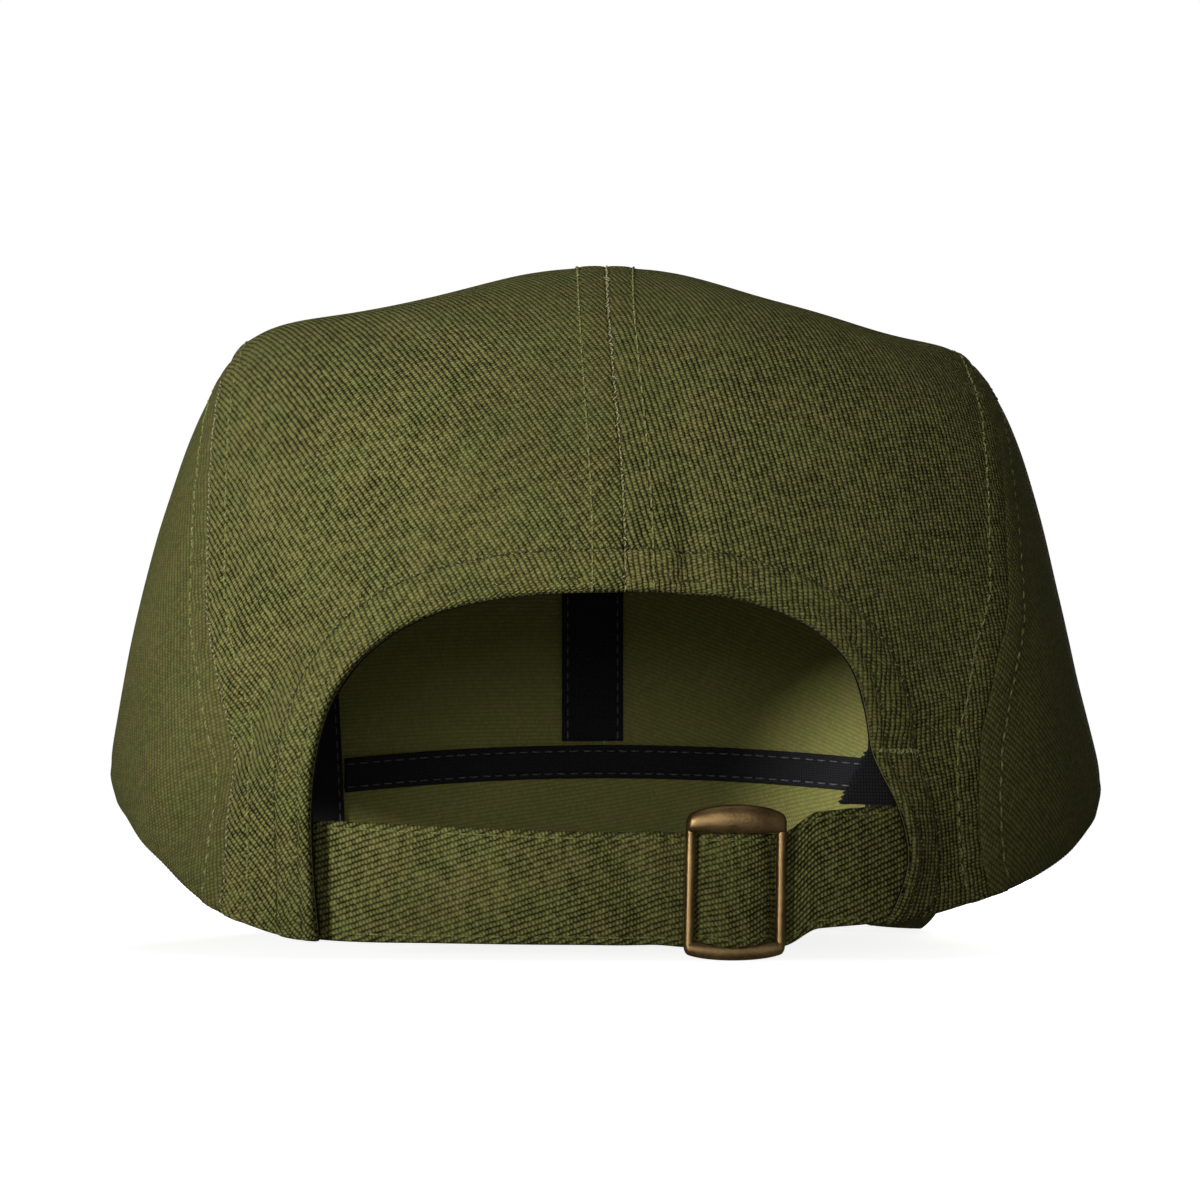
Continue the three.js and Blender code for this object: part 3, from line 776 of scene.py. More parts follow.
def flattened(points, triangles, up, aside):
    """Cloth coordinates: the piece laid flat without stretch, "up" along V and "aside" along U."""
    mesh = bpy.data.meshes.new("pattern")
    mesh.from_pydata(points.tolist(), [], triangles.tolist())
    pattern = add_object("pattern", mesh)
    bpy.ops.object.select_all(action="DESELECT")
    pattern.select_set(True)
    bpy.context.view_layer.objects.active = pattern
    bpy.ops.object.mode_set(mode="EDIT")
    bpy.ops.mesh.select_all(action="SELECT")
    bpy.ops.uv.unwrap(method="MINIMUM_STRETCH", iterations=12, margin=0)
    bpy.ops.object.mode_set(mode="OBJECT")
    layer = mesh.uv_layers.active.data
    corners = np.empty(len(layer) * 2)
    layer.foreach_get("uv", corners)
    owners = np.empty(len(mesh.loops), int)
    mesh.loops.foreach_get("vertex_index", owners)
    flat = np.zeros((len(points), 2))
    flat[owners] = corners.reshape(-1, 2)
    bpy.data.objects.remove(pattern)
    bpy.data.meshes.remove(mesh)
    ends = triangles[:, :2]
    real = np.linalg.norm(points[ends[:, 0]] - points[ends[:, 1]], axis=1)
    drawn = np.linalg.norm(flat[ends[:, 0]] - flat[ends[:, 1]], axis=1)
    flat = (flat - flat.mean(axis=0)) * np.median(real / np.maximum(drawn, 1e-9))
    rise = np.linalg.lstsq(flat, up - up.mean(), rcond=None)[0]
    rise /= np.linalg.norm(rise)
    turned = np.stack([flat @ [rise[1], -rise[0]], flat @ rise], axis=1)
    if np.sum(turned[:, 0] * (aside - aside.mean())) < 0:
        turned[:, 0] *= -1
    return turned


# Materials.
class Nodes:
    """Short ways to add nodes to one material."""

    def __init__(self, name):
        self.material = bpy.data.materials.new(name)
        self.material.use_nodes = True
        self.tree = self.material.node_tree
        self.shader = self.tree.nodes["Principled BSDF"]

    def add(self, kind, **values):
        node = self.tree.nodes.new(kind)
        for key, value in values.items():
            if hasattr(node, key):
                setattr(node, key, value)
            else:
                self.feed(node.inputs[key.replace("_", " ").capitalize()], value)
        return node

    def feed(self, socket, value):
        if isinstance(value, bpy.types.NodeSocket):
            self.tree.links.new(value, socket)
        else:
            socket.default_value = value

    def math(self, operation, first, second=0.0, third=0.0):
        node = self.add("ShaderNodeMath", operation=operation)
        for socket, value in zip(node.inputs, (first, second, third)):
            self.feed(socket, value)
        return node.outputs[0]

    def noise(self, vector, scale, detail=3.0):
        node = self.add("ShaderNodeTexNoise")
        self.feed(node.inputs["Vector"], vector)
        self.feed(node.inputs["Scale"], scale)
        self.feed(node.inputs["Detail"], detail)
        return node.outputs["Fac"]

    def mix(self, share, first, second, blend="MIX"):
        node = self.add("ShaderNodeMix", data_type="RGBA", blend_type=blend)
        self.feed(node.inputs["Factor"], share)
        self.feed(node.inputs["A"], first)
        self.feed(node.inputs["B"], second)
        return node.outputs["Result"]

    def bump(self, height, distance, strength=1.0):
        node = self.add("ShaderNodeBump")
        self.feed(node.inputs["Height"], height)
        self.feed(node.inputs["Distance"], distance)
        self.feed(node.inputs["Strength"], strength)
        self.tree.links.new(node.outputs["Normal"], self.shader.inputs["Normal"])

    def object_place(self):
        return self.add("ShaderNodeTexCoord").outputs["Object"]

    def cloth_place(self):
        return self.add("ShaderNodeAttribute", attribute_name="cloth").outputs["Vector"]

    def parts(self, vector):
        split = self.add("ShaderNodeSeparateXYZ")
        self.feed(split.inputs[0], vector)
        return split.outputs

    def wave(self, place):
        return self.math("SINE", self.math("MULTIPLY", place, math.pi))

    def shade(self, values):
        for name, value in values.items():
            self.feed(self.shader.inputs[name], value)


WHITE = (1, 1, 1, 1)
# The weave's gaps are near black: partly the yarn's own tone, mostly painted shade in the hollows
# between the ribs.
GAP_SHADE_COLOUR = (0.024, 0.026, 0.007)
RIB_COLOUR = (0.25, 0.243, 0.078)
WARM_HUE = (1.2, 0.98, 1.06, 1)
COOL_HUE = (0.8, 1.0, 0.84, 1)
RIB_PITCH = 0.93
FLOAT_PITCH = 0.6
TAPE_PITCH = 0.55
# Scales of uneven cloth, from the finest on, as rounds in a metre.
FUZZ = 2400.0
WOBBLE = 330.0
HUES = 110.0
CLOUDS = 45.0
WEAR = 28.0
# Heights in metres between which the weave grows fainter towards the top, and how clear it is.
CALM = {"From Min": 0.1, "From Max": 0.126, "To Min": 1.0, "To Max": 0.4}
# Share of light cloth about which the weave's contrast turns.
PIVOT = 0.42


def twill_material(name, lean, pitch=RIB_PITCH, stagger=0.2, contrast=1.0, tint=1.0, grain=1.0):
    """Cotton twill: ribs at a lean in degrees over the cloth, made of short floats. The low parts of
    the weave are painted darker, painted shade in its hollows. A tint below 1 paints the whole piece
    darker as painted shade, and one above 1 paints it lighter as painted light.
    """
    nodes = Nodes(name)
    cloth = nodes.cloth_place()
    wobble = nodes.add("ShaderNodeTexNoise")
    for socket, value in (("Vector", cloth), ("Scale", WOBBLE), ("Detail", 2.0)):
        nodes.feed(wobble.inputs[socket], value)
    shifted = nodes.add("ShaderNodeVectorMath", operation="MULTIPLY_ADD")
    for socket, value in enumerate((wobble.outputs["Color"], (0.0004, 0.0004, 0), cloth)):
        nodes.feed(shifted.inputs[socket], value)
    u, v, _ = nodes.parts(shifted.outputs[0])
    cosine, sine = math.cos(math.radians(lean)), math.sin(math.radians(lean))
    per_rib = 1 / (pitch * MM)
    per_float = 1 / (FLOAT_PITCH * MM)
    over = nodes.math("MULTIPLY", u, -sine * per_rib)
    over = nodes.math("MULTIPLY_ADD", v, cosine * per_rib, over)
    along = nodes.math("MULTIPLY", u, cosine * per_float)
    along = nodes.math("MULTIPLY_ADD", v, sine * per_float, along)
    rib = nodes.math("FLOOR", over)
    staggered = nodes.math("MULTIPLY_ADD", rib, stagger, along)
    ridge = nodes.math("ABSOLUTE", nodes.wave(over))
    bead = nodes.math("ABSOLUTE", nodes.wave(staggered))
    bead = nodes.math("MULTIPLY_ADD", bead, 0.62, 0.3)
    height = nodes.math("MULTIPLY", ridge, bead)
    fuzz = nodes.math("SUBTRACT", nodes.noise(cloth, FUZZ, 2.0), 0.5)
    height = nodes.math("MULTIPLY_ADD", fuzz, grain, height)
    yarn = nodes.add("ShaderNodeTexWhiteNoise", noise_dimensions="2D")
    cell = nodes.add("ShaderNodeCombineXYZ")
    nodes.feed(cell.inputs[0], rib)
    nodes.feed(cell.inputs[1], nodes.math("FLOOR", staggered))
    nodes.feed(yarn.inputs["Vector"], cell.outputs[0])
    # Colour follows the weave's height: its low parts are painted darker as painted shade, with each
    # yarn's own tone and random clouds added.
    share = nodes.math("SUBTRACT", height, 0.2)
    share = nodes.math("MULTIPLY_ADD", yarn.outputs["Value"], 0.4, share)
    cloudy = nodes.math("SUBTRACT", nodes.noise(cloth, CLOUDS, 4.0), 0.5)
    share = nodes.math("MULTIPLY_ADD", cloudy, 0.35, share)
    place = nodes.object_place()
    calm = nodes.add("ShaderNodeMapRange", interpolation_type="SMOOTHSTEP")
    for socket, value in {"Value": nodes.parts(place)["Z"], **CALM}.items():
        nodes.feed(calm.inputs[socket], value)
    clear = nodes.math("MULTIPLY_ADD", nodes.noise(place, WEAR, 2.0), 1.3, 0.3)
    clear = nodes.math("MULTIPLY", clear, calm.outputs["Result"])
    share = nodes.math("MULTIPLY_ADD", nodes.math("SUBTRACT", share, PIVOT), clear, PIVOT)
    middle = [(low + high) / 2 * tint for low, high in zip(GAP_SHADE_COLOUR, RIB_COLOUR)]
    dark = [value + (low * tint - value) * contrast for value, low in zip(middle, GAP_SHADE_COLOUR)]
    light = [value + (high * tint - value) * contrast for value, high in zip(middle, RIB_COLOUR)]
    colour = nodes.mix(share, (*dark, 1), (*light, 1))
    hue = nodes.mix(nodes.noise(cloth, HUES), WARM_HUE, COOL_HUE)
    colour = nodes.mix(1.0, colour, hue, "MULTIPLY")
    nodes.shade({"Base Color": colour, "Roughness": 0.95, "Specular IOR Level": 0.1})
    nodes.shade({"Sheen Weight": 0.03, "Sheen Roughness": 0.5, "Sheen Tint": (0.7, 0.75, 0.4, 1)})
    nodes.bump(height, 0.0003 * contrast)
    return nodes.material


def tape_material():
    """Black plain-woven tape."""
    nodes = Nodes("black tape")
    cloth = nodes.cloth_place()
    u, v, _ = nodes.parts(cloth)
    per_yarn = math.pi / (TAPE_PITCH * MM)
    warp = nodes.math("SINE", nodes.math("MULTIPLY", u, per_yarn))
    weft = nodes.math("SINE", nodes.math("MULTIPLY", v, per_yarn))
    height = nodes.math("ABSOLUTE", nodes.math("MULTIPLY", warp, weft))
    height = nodes.math("MULTIPLY_ADD", nodes.noise(cloth, 1900.0), 0.5, height)
    colour = nodes.mix(height, (0.008, 0.008, 0.009, 1), (0.036, 0.036, 0.039, 1))
    nodes.shade({"Base Color": colour, "Roughness": 0.9, "Specular IOR Level": 0.06})
    nodes.bump(height, 0.00012)
    return nodes.material


def thread_material(name, dark, light):
    """Sewing thread with its twist."""
    nodes = Nodes(name)
    place = nodes.object_place()
    twist = nodes.add("ShaderNodeTexWave", wave_type="BANDS", bands_direction="DIAGONAL")
    for socket, value in (("Vector", place), ("Scale", 900.0), ("Distortion", 2.0)):
        nodes.feed(twist.inputs[socket], value)
    share = nodes.math("MULTIPLY_ADD", twist.outputs["Fac"], 0.5, nodes.noise(place, 700.0))
    share = nodes.math("SUBTRACT", share, 0.25)
    colour = nodes.mix(share, (*dark, 1), (*light, 1))
    nodes.shade({"Base Color": colour, "Roughness": 0.75, "Specular IOR Level": 0.3})
    nodes.bump(twist.outputs["Fac"], 0.00008)
    return nodes.material


def brass_material():
    """Antique brass, darker and lighter in random clouds, with fine specks."""
    nodes = Nodes("antique brass")
    place = nodes.object_place()
    cloudy = nodes.noise(place, 260.0, 5.0)
    fine = nodes.noise(place, 2400.0, 3.0)
    colour = nodes.mix(cloudy, (0.13, 0.077, 0.03, 1), (0.62, 0.41, 0.18, 1))
    speck = nodes.math("SMOOTH_MIN", nodes.math("MULTIPLY", fine, 1.7), 1.0, 0.2)
    specks = nodes.mix(speck, (0.3, 0.24, 0.18, 1), WHITE)
    colour = nodes.mix(0.55, colour, specks, "MULTIPLY")
    rough = nodes.math("MULTIPLY_ADD", cloudy, 0.18, 0.25)
    rough = nodes.math("MULTIPLY_ADD", fine, 0.22, rough)
    nodes.shade({"Base Color": colour, "Metallic": 1.0, "Roughness": rough})
    nodes.bump(fine, 0.00004)
    return nodes.material


LEFT_TWILL = twill_material("twill left", -68, contrast=1.15)
RIGHT_TWILL = twill_material("twill right", -68, contrast=1.15)
LEFT_HEM_TWILL = twill_material("twill left hem", -73, contrast=1.05)
RIGHT_HEM_TWILL = twill_material("twill right hem", -77, contrast=1.05)
# Side panels: the same twill as the top, painted darker by a tint of 0.74 as painted shade on the cap's
# sides.
SIDE_TWILL_PAINTED_DARK = twill_material("twill side painted dark", -58, contrast=0.6, tint=0.74)
FRONT_TWILL = twill_material("twill front", -60)
# Inside of the crown: the twill's reverse face, painted 2.3 times lighter as painted light reaching
# into the cap.
INNER_TWILL_PAINTED_LIGHT = twill_material("twill inside painted light", 10, contrast=0.3, tint=2.3)
STRAP_TWILL = twill_material("twill strap", 20, pitch=0.89, stagger=0.41, contrast=1.1, grain=0.5)
BRIM_TWILL = twill_material("twill brim", -50)
BLACK_TAPE = tape_material()
OLIVE_THREAD = thread_material("olive thread", (0.07, 0.078, 0.02), (0.29, 0.3, 0.09))
# Hem thread painted near black: painted shade of the grooves its stitches sink in.
SHADE_PAINTED_THREAD = thread_material("thread painted with shade", (0.014, 0.016, 0.005), (0.06, 0.064, 0.02))
# Thread painted paler than the olive thread: a painted highlight on stitch loops and the bartack.
HIGHLIGHT_PAINTED_THREAD = thread_material("thread painted with highlight", (0.15, 0.16, 0.05), (0.42, 0.43, 0.16))
PALE_THREAD = thread_material("pale thread", (0.16, 0.14, 0.07), (0.5, 0.44, 0.26))
GREY_THREAD = thread_material("grey thread", (0.06, 0.06, 0.065), (0.24, 0.24, 0.25))
BRASS = brass_material()


# Crown panels.
def crown_triangles():
    """Spots and triangles over the whole disc, with the seams, the opening and the rim as edges."""
    edges, spots, count = [], [], 0
    lines = [OPENING, SIDE_SEAMS[1], SIDE_SEAMS[-1], FRONT_SEAM, CENTRE_SEAM, RIM[:-1]]
    lines.append(within_rim(beside(OPENING, HEM_ROW_FAR), -HEM_OVERRUN))
    for line in lines:
        spots.append(line)
        index = np.arange(len(line)) + count
        edges += list(zip(index[:-1].tolist(), index[1:].tolist()))
        if line is lines[5]:
            edges.append((int(index[-1]), int(index[0])))
        count += len(line)
    fixed = np.concatenate(spots)
    rings = []
    for place, line in enumerate(lines[:6]):
        others = np.concatenate([other for at, other in enumerate(lines) if at != place])
        for ring in EDGE_RINGS:
            for side in (1, -1):
                moved = beside(RIM if place == 5 else line, ring * side)
                far = distance_to(others, moved)
                rings.append(within_rim(moved[far > RING_CLEARANCE], RING_MARGIN))
    ring_spots = np.concatenate(rings)
    rows = np.arange(-RIM_RADIUS, RIM_RADIUS, CLOTH_STEP * math.sqrt(3) / 2)
    columns = np.arange(-RIM_RADIUS, RIM_RADIUS, CLOTH_STEP)
    grid_u, grid_v = np.meshgrid(columns, rows)
    grid_u[1::2] += CLOTH_STEP / 2
    grid = np.stack([grid_u.ravel(), grid_v.ravel()], axis=1)
    grid = within_rim(grid, GRID_MARGIN)
    far = distance_to(fixed, grid)
    near_ring = distance_to(ring_spots, grid)
    grid = grid[(far > CLOTH_STEP * 0.75) & (near_ring > CLOTH_STEP * 0.5)]
    everything = np.concatenate([fixed, ring_spots, grid])
    corners = [Vector(spot) for spot in everything.tolist()]
    found, _, faces, *_ = delaunay_2d_cdt(corners, edges, [], 0, MERGE_DISTANCE)
    return np.array([tuple(spot) for spot in found]), np.array(faces)


def distance_to(targets, spots):
    """Distance from spots on the disc to the nearest of the targets."""
    tree = KDTree(len(targets))
    for number, (u, v) in enumerate(targets.tolist()):
        tree.insert((u, v, 0), number)
    tree.balance()
    return np.array([tree.find((u, v, 0))[2] for u, v in spots.tolist()])


def panel_of(points, spots):
    """Panel number at points of the crown: 0 none, 1 front, 2 and 3 top, 4 and 5 side."""
    panel = np.where(points[:, 0] > 0, 2, 3)
    below = (above_front_seam(points) < 0) & (points[:, 1] < 0)
    panel = np.where(below, 1, panel)
    panel = np.where(outside_seam(points) > 0, np.where(points[:, 0] > 0, 4, 5), panel)
    panel = np.where(inside_opening(points), 0, panel)
    return np.where(np.hypot(*spots.T) > RIM_RADIUS, 0, panel)


def border_of(triangles):
    """Corner pairs that only one triangle has, in its own order."""
    pairs = np.concatenate([triangles[:, [0, 1]], triangles[:, [1, 2]], triangles[:, [2, 0]]])
    keys = pairs.min(axis=1) * (triangles.max() + 1) + pairs.max(axis=1)
    _, first, counts = np.unique(keys, return_index=True, return_counts=True)
    return pairs[first[counts == 1]]


def panel_mesh(name, spots, triangles, materials, replaces, up_of, aside_of):
    """Cloth panel with a folded edge all round, from triangles on the disc."""
    used, index = np.unique(triangles, return_inverse=True)
    triangles = index.reshape(-1, 3)
    spots = spots[used]
    base = crown(spots)
    border = border_of(triangles)
    ends = np.unique(border)
    free = np.full(len(spots), np.inf)
    for line in ("opening", "rim"):
        free = np.minimum(free, nearest_on(LINES[line], base)[0])
    outer, _ = crown_surface(spots)
    inner, _ = backing_surface(spots, CLOTH - 0.94 * rounding(free, CLOTH / 2, CLOTH / 2))
    inside = np.zeros((len(spots), 3))
    counts = np.zeros(len(spots))
    for corner in range(3):
        for other in range(3):
            np.add.at(inside, triangles[:, corner], base[triangles[:, other]])
            np.add.at(counts, triangles[:, corner], 1)
    way = unit(inside / counts[:, None] - base)[ends] * PANEL_GAP
    outer[ends] += way
    inner[ends] += way
    cloth = flattened(outer, triangles, up_of(spots, base), aside_of(spots, base))
    count = len(spots)
    wall = np.stack([border[:, 1], border[:, 0], border[:, 0] + count, border[:, 1] + count], axis=1)
    centres = crown(spots[triangles].mean(axis=1))
    hem_distance, _ = nearest_on(LINES["opening"], centres)
    hem = (hem_distance < HEM_ROW_FAR) & (centres[:, 1] > 0) & (len(materials) > 2)
    kinds = np.concatenate([hem * 2, np.ones(len(hem), int), np.zeros(len(wall), int)])
    faces = triangles.tolist() + (triangles[:, ::-1] + count).tolist() + wall.tolist()
    points = np.concatenate([outer, inner])
    cloths = np.concatenate([cloth, cloth])
    return make_piece(name, points, faces, materials, replaces, cloths, kinds)


def make_panels():
    spots, triangles = crown_triangles()
    corners = spots[triangles]
    area = np.cross(corners[:, 1] - corners[:, 0], corners[:, 2] - corners[:, 0])
    triangles = np.where((area < 0)[:, None], triangles[:, ::-1], triangles)
    triangles = triangles[np.abs(area) > SMALLEST_AREA]
    middles = spots[triangles].mean(axis=1)
    panel = panel_of(crown(middles), middles)

    def back_up(spots, base):
        return -spots[:, 1]

    def height(spots, base):
        return base[:, 2]

    def to_right(spots, base):
        return -base[:, 0]

    def to_back(spots, base):
        return base[:, 1]

    def to_front(spots, base):
        return -base[:, 1]

    for number, name, materials, up, aside in (
        (1, "front_panel", [FRONT_TWILL, INNER_TWILL_PAINTED_LIGHT], height, to_right),
        (2, "top_panel_left", [LEFT_TWILL, INNER_TWILL_PAINTED_LIGHT, LEFT_HEM_TWILL], back_up, to_right),
        (3, "top_panel_right", [RIGHT_TWILL, INNER_TWILL_PAINTED_LIGHT, RIGHT_HEM_TWILL], back_up, to_right),
        (4, "side_panel_left", [SIDE_TWILL_PAINTED_DARK, INNER_TWILL_PAINTED_LIGHT], height, to_back),
        (5, "side_panel_right", [SIDE_TWILL_PAINTED_DARK, INNER_TWILL_PAINTED_LIGHT], height, to_front),
    ):
        chosen = triangles[panel == number]
        panel_mesh(name + "_cloth", spots, chosen, materials, [name], up, aside)


# Sewing.
def row_on_crown(line, distance):
    """Points and normals of a stitch row beside a line of spots."""
    return crown_surface(within_rim(beside(line, distance), STITCH_MARGIN))


def stitch_mesh(rows, length=STITCH, gap=STITCH_GAP, thread=THREAD, lift=0.15, wander=0.12):
    """Points and faces of stitches along rows of (points, normals)."""
    all_points, all_faces, count = [], [], 0
    stations = np.array([0, 0.14, 0.35, 0.65, 0.86, 1])
    rise = np.array([-1.1, 0.25, 1, 1, 0.25, -1.1])
    thick = np.array([0.55, 0.9, 1, 1, 0.9, 0.55])
    sides = 6
    angles = np.arange(sides) * (2 * math.pi / sides)
    for points, normals in rows:
        along = run_of(points)
        number = int((along[-1] - gap) / (length + gap))
        if number < 1:
            continue
        starts = (np.arange(number) + 0.5) * (along[-1] / number) - length / 2
        starts = starts + rng.normal(0, 0.05 * length, number)
        at = starts[:, None] + stations * length
        sway = rng.normal(0, wander, number)[:, None] * np.linspace(-1, 1, 6)[None, :]

        def read(values):
            return np.stack([np.interp(at, along, values[:, axis]) for axis in range(3)], axis=-1)

        middle, out = read(points), unit(read(normals))
        ways = unit(np.gradient(points, axis=0))
        way = unit(read(ways))
        aside = unit(np.cross(way, out))
        middle = middle + out * (thread * (lift + rise * 0.75))[None, :, None]
        middle = middle + aside * sway[..., None] * thread
        ring = (
            aside[:, :, None, :] * np.cos(angles)[None, None, :, None]
            + out[:, :, None, :] * np.sin(angles)[None, None, :, None]
        )
        shape = middle[:, :, None, :] + ring * (thread * thick)[None, :, None, None]
        all_points.append(shape.reshape(-1, 3))
        station_count = len(stations)
        for stitch in range(number):
            first = count + stitch * station_count * sides
            for station in range(station_count - 1):
                low = first + station * sides
                for side in range(sides):
                    beside_it = (side + 1) % sides
                    all_faces.append(
                        (low + side, low + sides + side, low + sides + beside_it, low + beside_it)
                    )
            last = first + (station_count - 1) * sides
            all_faces.append(tuple(first + side for side in range(sides)))
            all_faces.append(tuple(last + side for side in reversed(range(sides))))
        count += number * station_count * sides
    return np.concatenate(all_points), all_faces


def make_stitches(name, rows, material, slot, **style):
    points, faces = stitch_mesh(rows, **style)
    return make_piece(name, points, faces, [material])


def make_topstitch(name, rows, thread_colour):
    """Stitch rows sunk in the cloth, with the loops that show where stitches meet painted paler, a
    painted highlight.
    """
    make_stitches(name, rows, thread_colour, "twill")
    make_stitches(name + "_loops", rows, HIGHLIGHT_PAINTED_THREAD, "twill", **LOOPS)


def make_crown_stitches():
    rows = [row_on_crown(OPENING, HEM_ROW_NEAR), row_on_crown(OPENING, HEM_ROW_FAR)]
    # The hem's stitches take the thread painted dark as shade.
    make_topstitch("stitches_hem", rows, SHADE_PAINTED_THREAD)
    for name, line in (
        ("centre", CENTRE_SEAM),
        ("left", SIDE_SEAMS[1]),
        ("right", SIDE_SEAMS[-1]),
        ("front", FRONT_SEAM),
    ):
        rows = [row_on_crown(line, offset) for offset in (SEAM_ROWS[name], -SEAM_ROWS[name])]
        make_topstitch("stitches_" + name, rows, OLIVE_THREAD)


def make_seam_thread():
    """Pale thread that peeps out of the seams at the back, up to some height."""
    rows = []
    for line, highest in ((SIDE_SEAMS[1], 104), (CENTRE_SEAM, 128)):
        points, normals = row_on_crown(line, -0.3)
        behind = (points[:, 1] > 0) & (points[:, 2] < highest)
        behind &= nearest_on(LINES["opening"], points)[0] > 1.2
        rows.append((points[behind], normals[behind]))
    make_stitches("seam_thread", rows, PALE_THREAD, "twill", **SEAM_STITCHES)


def make_bartack():
    """Short dense row of stitches beside the right end of the strap."""
    start = -OPENING_WIDTH / 2 - 0.2
    across = np.linspace(start, -OPENING_WIDTH / 2 - BARTACK_REACH, 20)
    line = spot_behind(across, np.full(20, BARTACK_HEIGHT))
    rows = [crown_surface(line), crown_surface(line + [0, 0.3])]
    # The bartack's thread is painted pale, a painted highlight.
    make_stitches("bartack", rows, HIGHLIGHT_PAINTED_THREAD, "twill", **BARTACK_STITCHES)


# Tapes inside the crown.
# Loop round a tape: share of its width, millimetres beside that, and share of its thickness into
# the cap. The seen face comes first.
TAPE_SECTION = table(
    "share edge depth",
    *[(0, 0, 0.5), (0, 0.2, 0.88), (0, 0.6, 1)],
    *[(share, 0, 1) for share in np.linspace(0.09, 0.91, 13)],
    *[(1, -0.6, 1), (1, -0.2, 0.88), (1, 0, 0.5)],
    *[(1, -0.3, 0.04), (0.75, 0, 0), (0.5, 0, 0), (0.25, 0, 0), (0, 0.3, 0.04)],
)


def make_tape(name, line, low, high, replaces, rows_at):
    """Tape along a line of spots, between two distances to the left of the line's way."""
    low = np.broadcast_to(low, len(line)).astype(float)
    high = np.broadcast_to(high, len(line)).astype(float)
    columns, cloths = [], []
    middle, _ = backing_surface(line, WALL_INSIDE)
    along = run_of(middle)
    for share, edge, depth in rows_of(TAPE_SECTION):
        across = low + (high - low) * share + edge
        seen = depth > 0.5
        soft = 0.12 * np.sin(along / 2.1 + 5 * share) * seen
        for row in rows_at:
            from_edge = across - low if row > 0 else high - across
            soft = soft - 0.22 * bell(from_edge - abs(row), 0.45) * seen
        spots = beside(line, across)
        radius = np.hypot(*spots.T)
        spots = spots * np.minimum(1, (RIM_RADIUS - TAPE_RIM_GAP) / radius)[:, None]
        points, _ = backing_surface(spots, WALL_INSIDE + depth * TAPE + soft)
        columns.append(points)
        cloths.append(np.stack([across, along], axis=1))
    make_tube(name, columns, cloths, BLACK_TAPE, replaces)


def tube_faces(count, around):
    """Faces of a closed tube of sections, one after the other, each a loop of points."""
    faces = []
    for station in range(count - 1):
        for corner in range(around):
            beside_it = (corner + 1) % around
            low = station * around
            faces.append(
                (low + corner, low + beside_it, low + around + beside_it, low + around + corner)
            )
    faces.append(tuple(reversed(range(around))))
    faces.append(tuple((count - 1) * around + corner for corner in range(around)))
    return faces


def make_tube(name, columns, cloths, material, replaces, turned=False):
    """Cloth piece from lines of points side by side, the last of which meets the first."""
    points = np.stack(columns, axis=1).reshape(-1, 3)
    cloth = np.stack(cloths, axis=1).reshape(-1, 2)
    faces = tube_faces(len(columns[0]), len(columns))
    if turned:
        faces = [face[::-1] for face in faces]
    return make_piece(name, points, faces, [material], [replaces], cloth)


def tape_row(line, offset, inside):
    """Stitch row on the seen face of a tape."""
    points, normals = backing_surface(within_rim(beside(line, offset), TAPE_STITCH_MARGIN), inside)
    return points, -normals


def make_tapes():
    row = TAPE_ROW
    seen = TAPE_INSIDE - 0.05
    rows = []
    points = crown(CENTRE_SEAM)
    from_hem = nearest_on(LINES["opening"], points)[0]
    from_front = nearest_on(LINES["front"], points)[0]
    line = CENTRE_SEAM[(from_hem > FACING_WIDTH) & (from_front > FRONT_TAPE_WIDTH / 2 + SEAM_GAP)]
    low, high = TAPE_ASIDE - TAPE_WIDTH / 2, TAPE_ASIDE + TAPE_WIDTH / 2
    make_tape("tape_centre", line, low, high, "seam_tape_centre", (row, -row))
    rows += [tape_row(line, low + row, seen), tape_row(line, high - row, seen)]

    points = crown(FRONT_SEAM)
    from_sides = np.minimum(
        nearest_on(LINES["left"], points)[0], nearest_on(LINES["right"], points)[0]
    )
    line = FRONT_SEAM[from_sides > TAPE_WIDTH / 2 + SEAM_GAP]
    half = FRONT_TAPE_WIDTH / 2
    make_tape("tape_front", line, -half, half, "seam_tape_front", (row, -row))
    rows += [tape_row(line, half - row, seen), tape_row(line, row - half, seen)]

    for side, name in ((1, "left"), (-1, "right")):
        line = within_rim(SIDE_SEAMS[side], TAPE_MARGIN)
        from_hem = nearest_on(LINES["opening"], crown(line))[0]
        inner = np.minimum(TAPE_WIDTH / 2, from_hem - FACING_WIDTH - SEAM_GAP)
        low, high = (-inner, TAPE_WIDTH / 2) if side > 0 else (-TAPE_WIDTH / 2, inner)
        make_tape("tape_" + name, line, low, high, "seam_tape_" + name, (row, -row))
        rows += [tape_row(line, side * (TAPE_WIDTH / 2 - row), seen)]
        rows += [tape_row(line, -side * (inner - row), seen)]

    line = within_rim(OPENING, TAPE_MARGIN)
    make_tape("facing", line, FACING_SETBACK, FACING_WIDTH, "opening_facing", (row,))
    rows += [tape_row(line, FACING_SETBACK + row, seen)]
    make_stitches("stitches_tape", rows, GREY_THREAD, "black_tape", **TAPE_STITCHES)


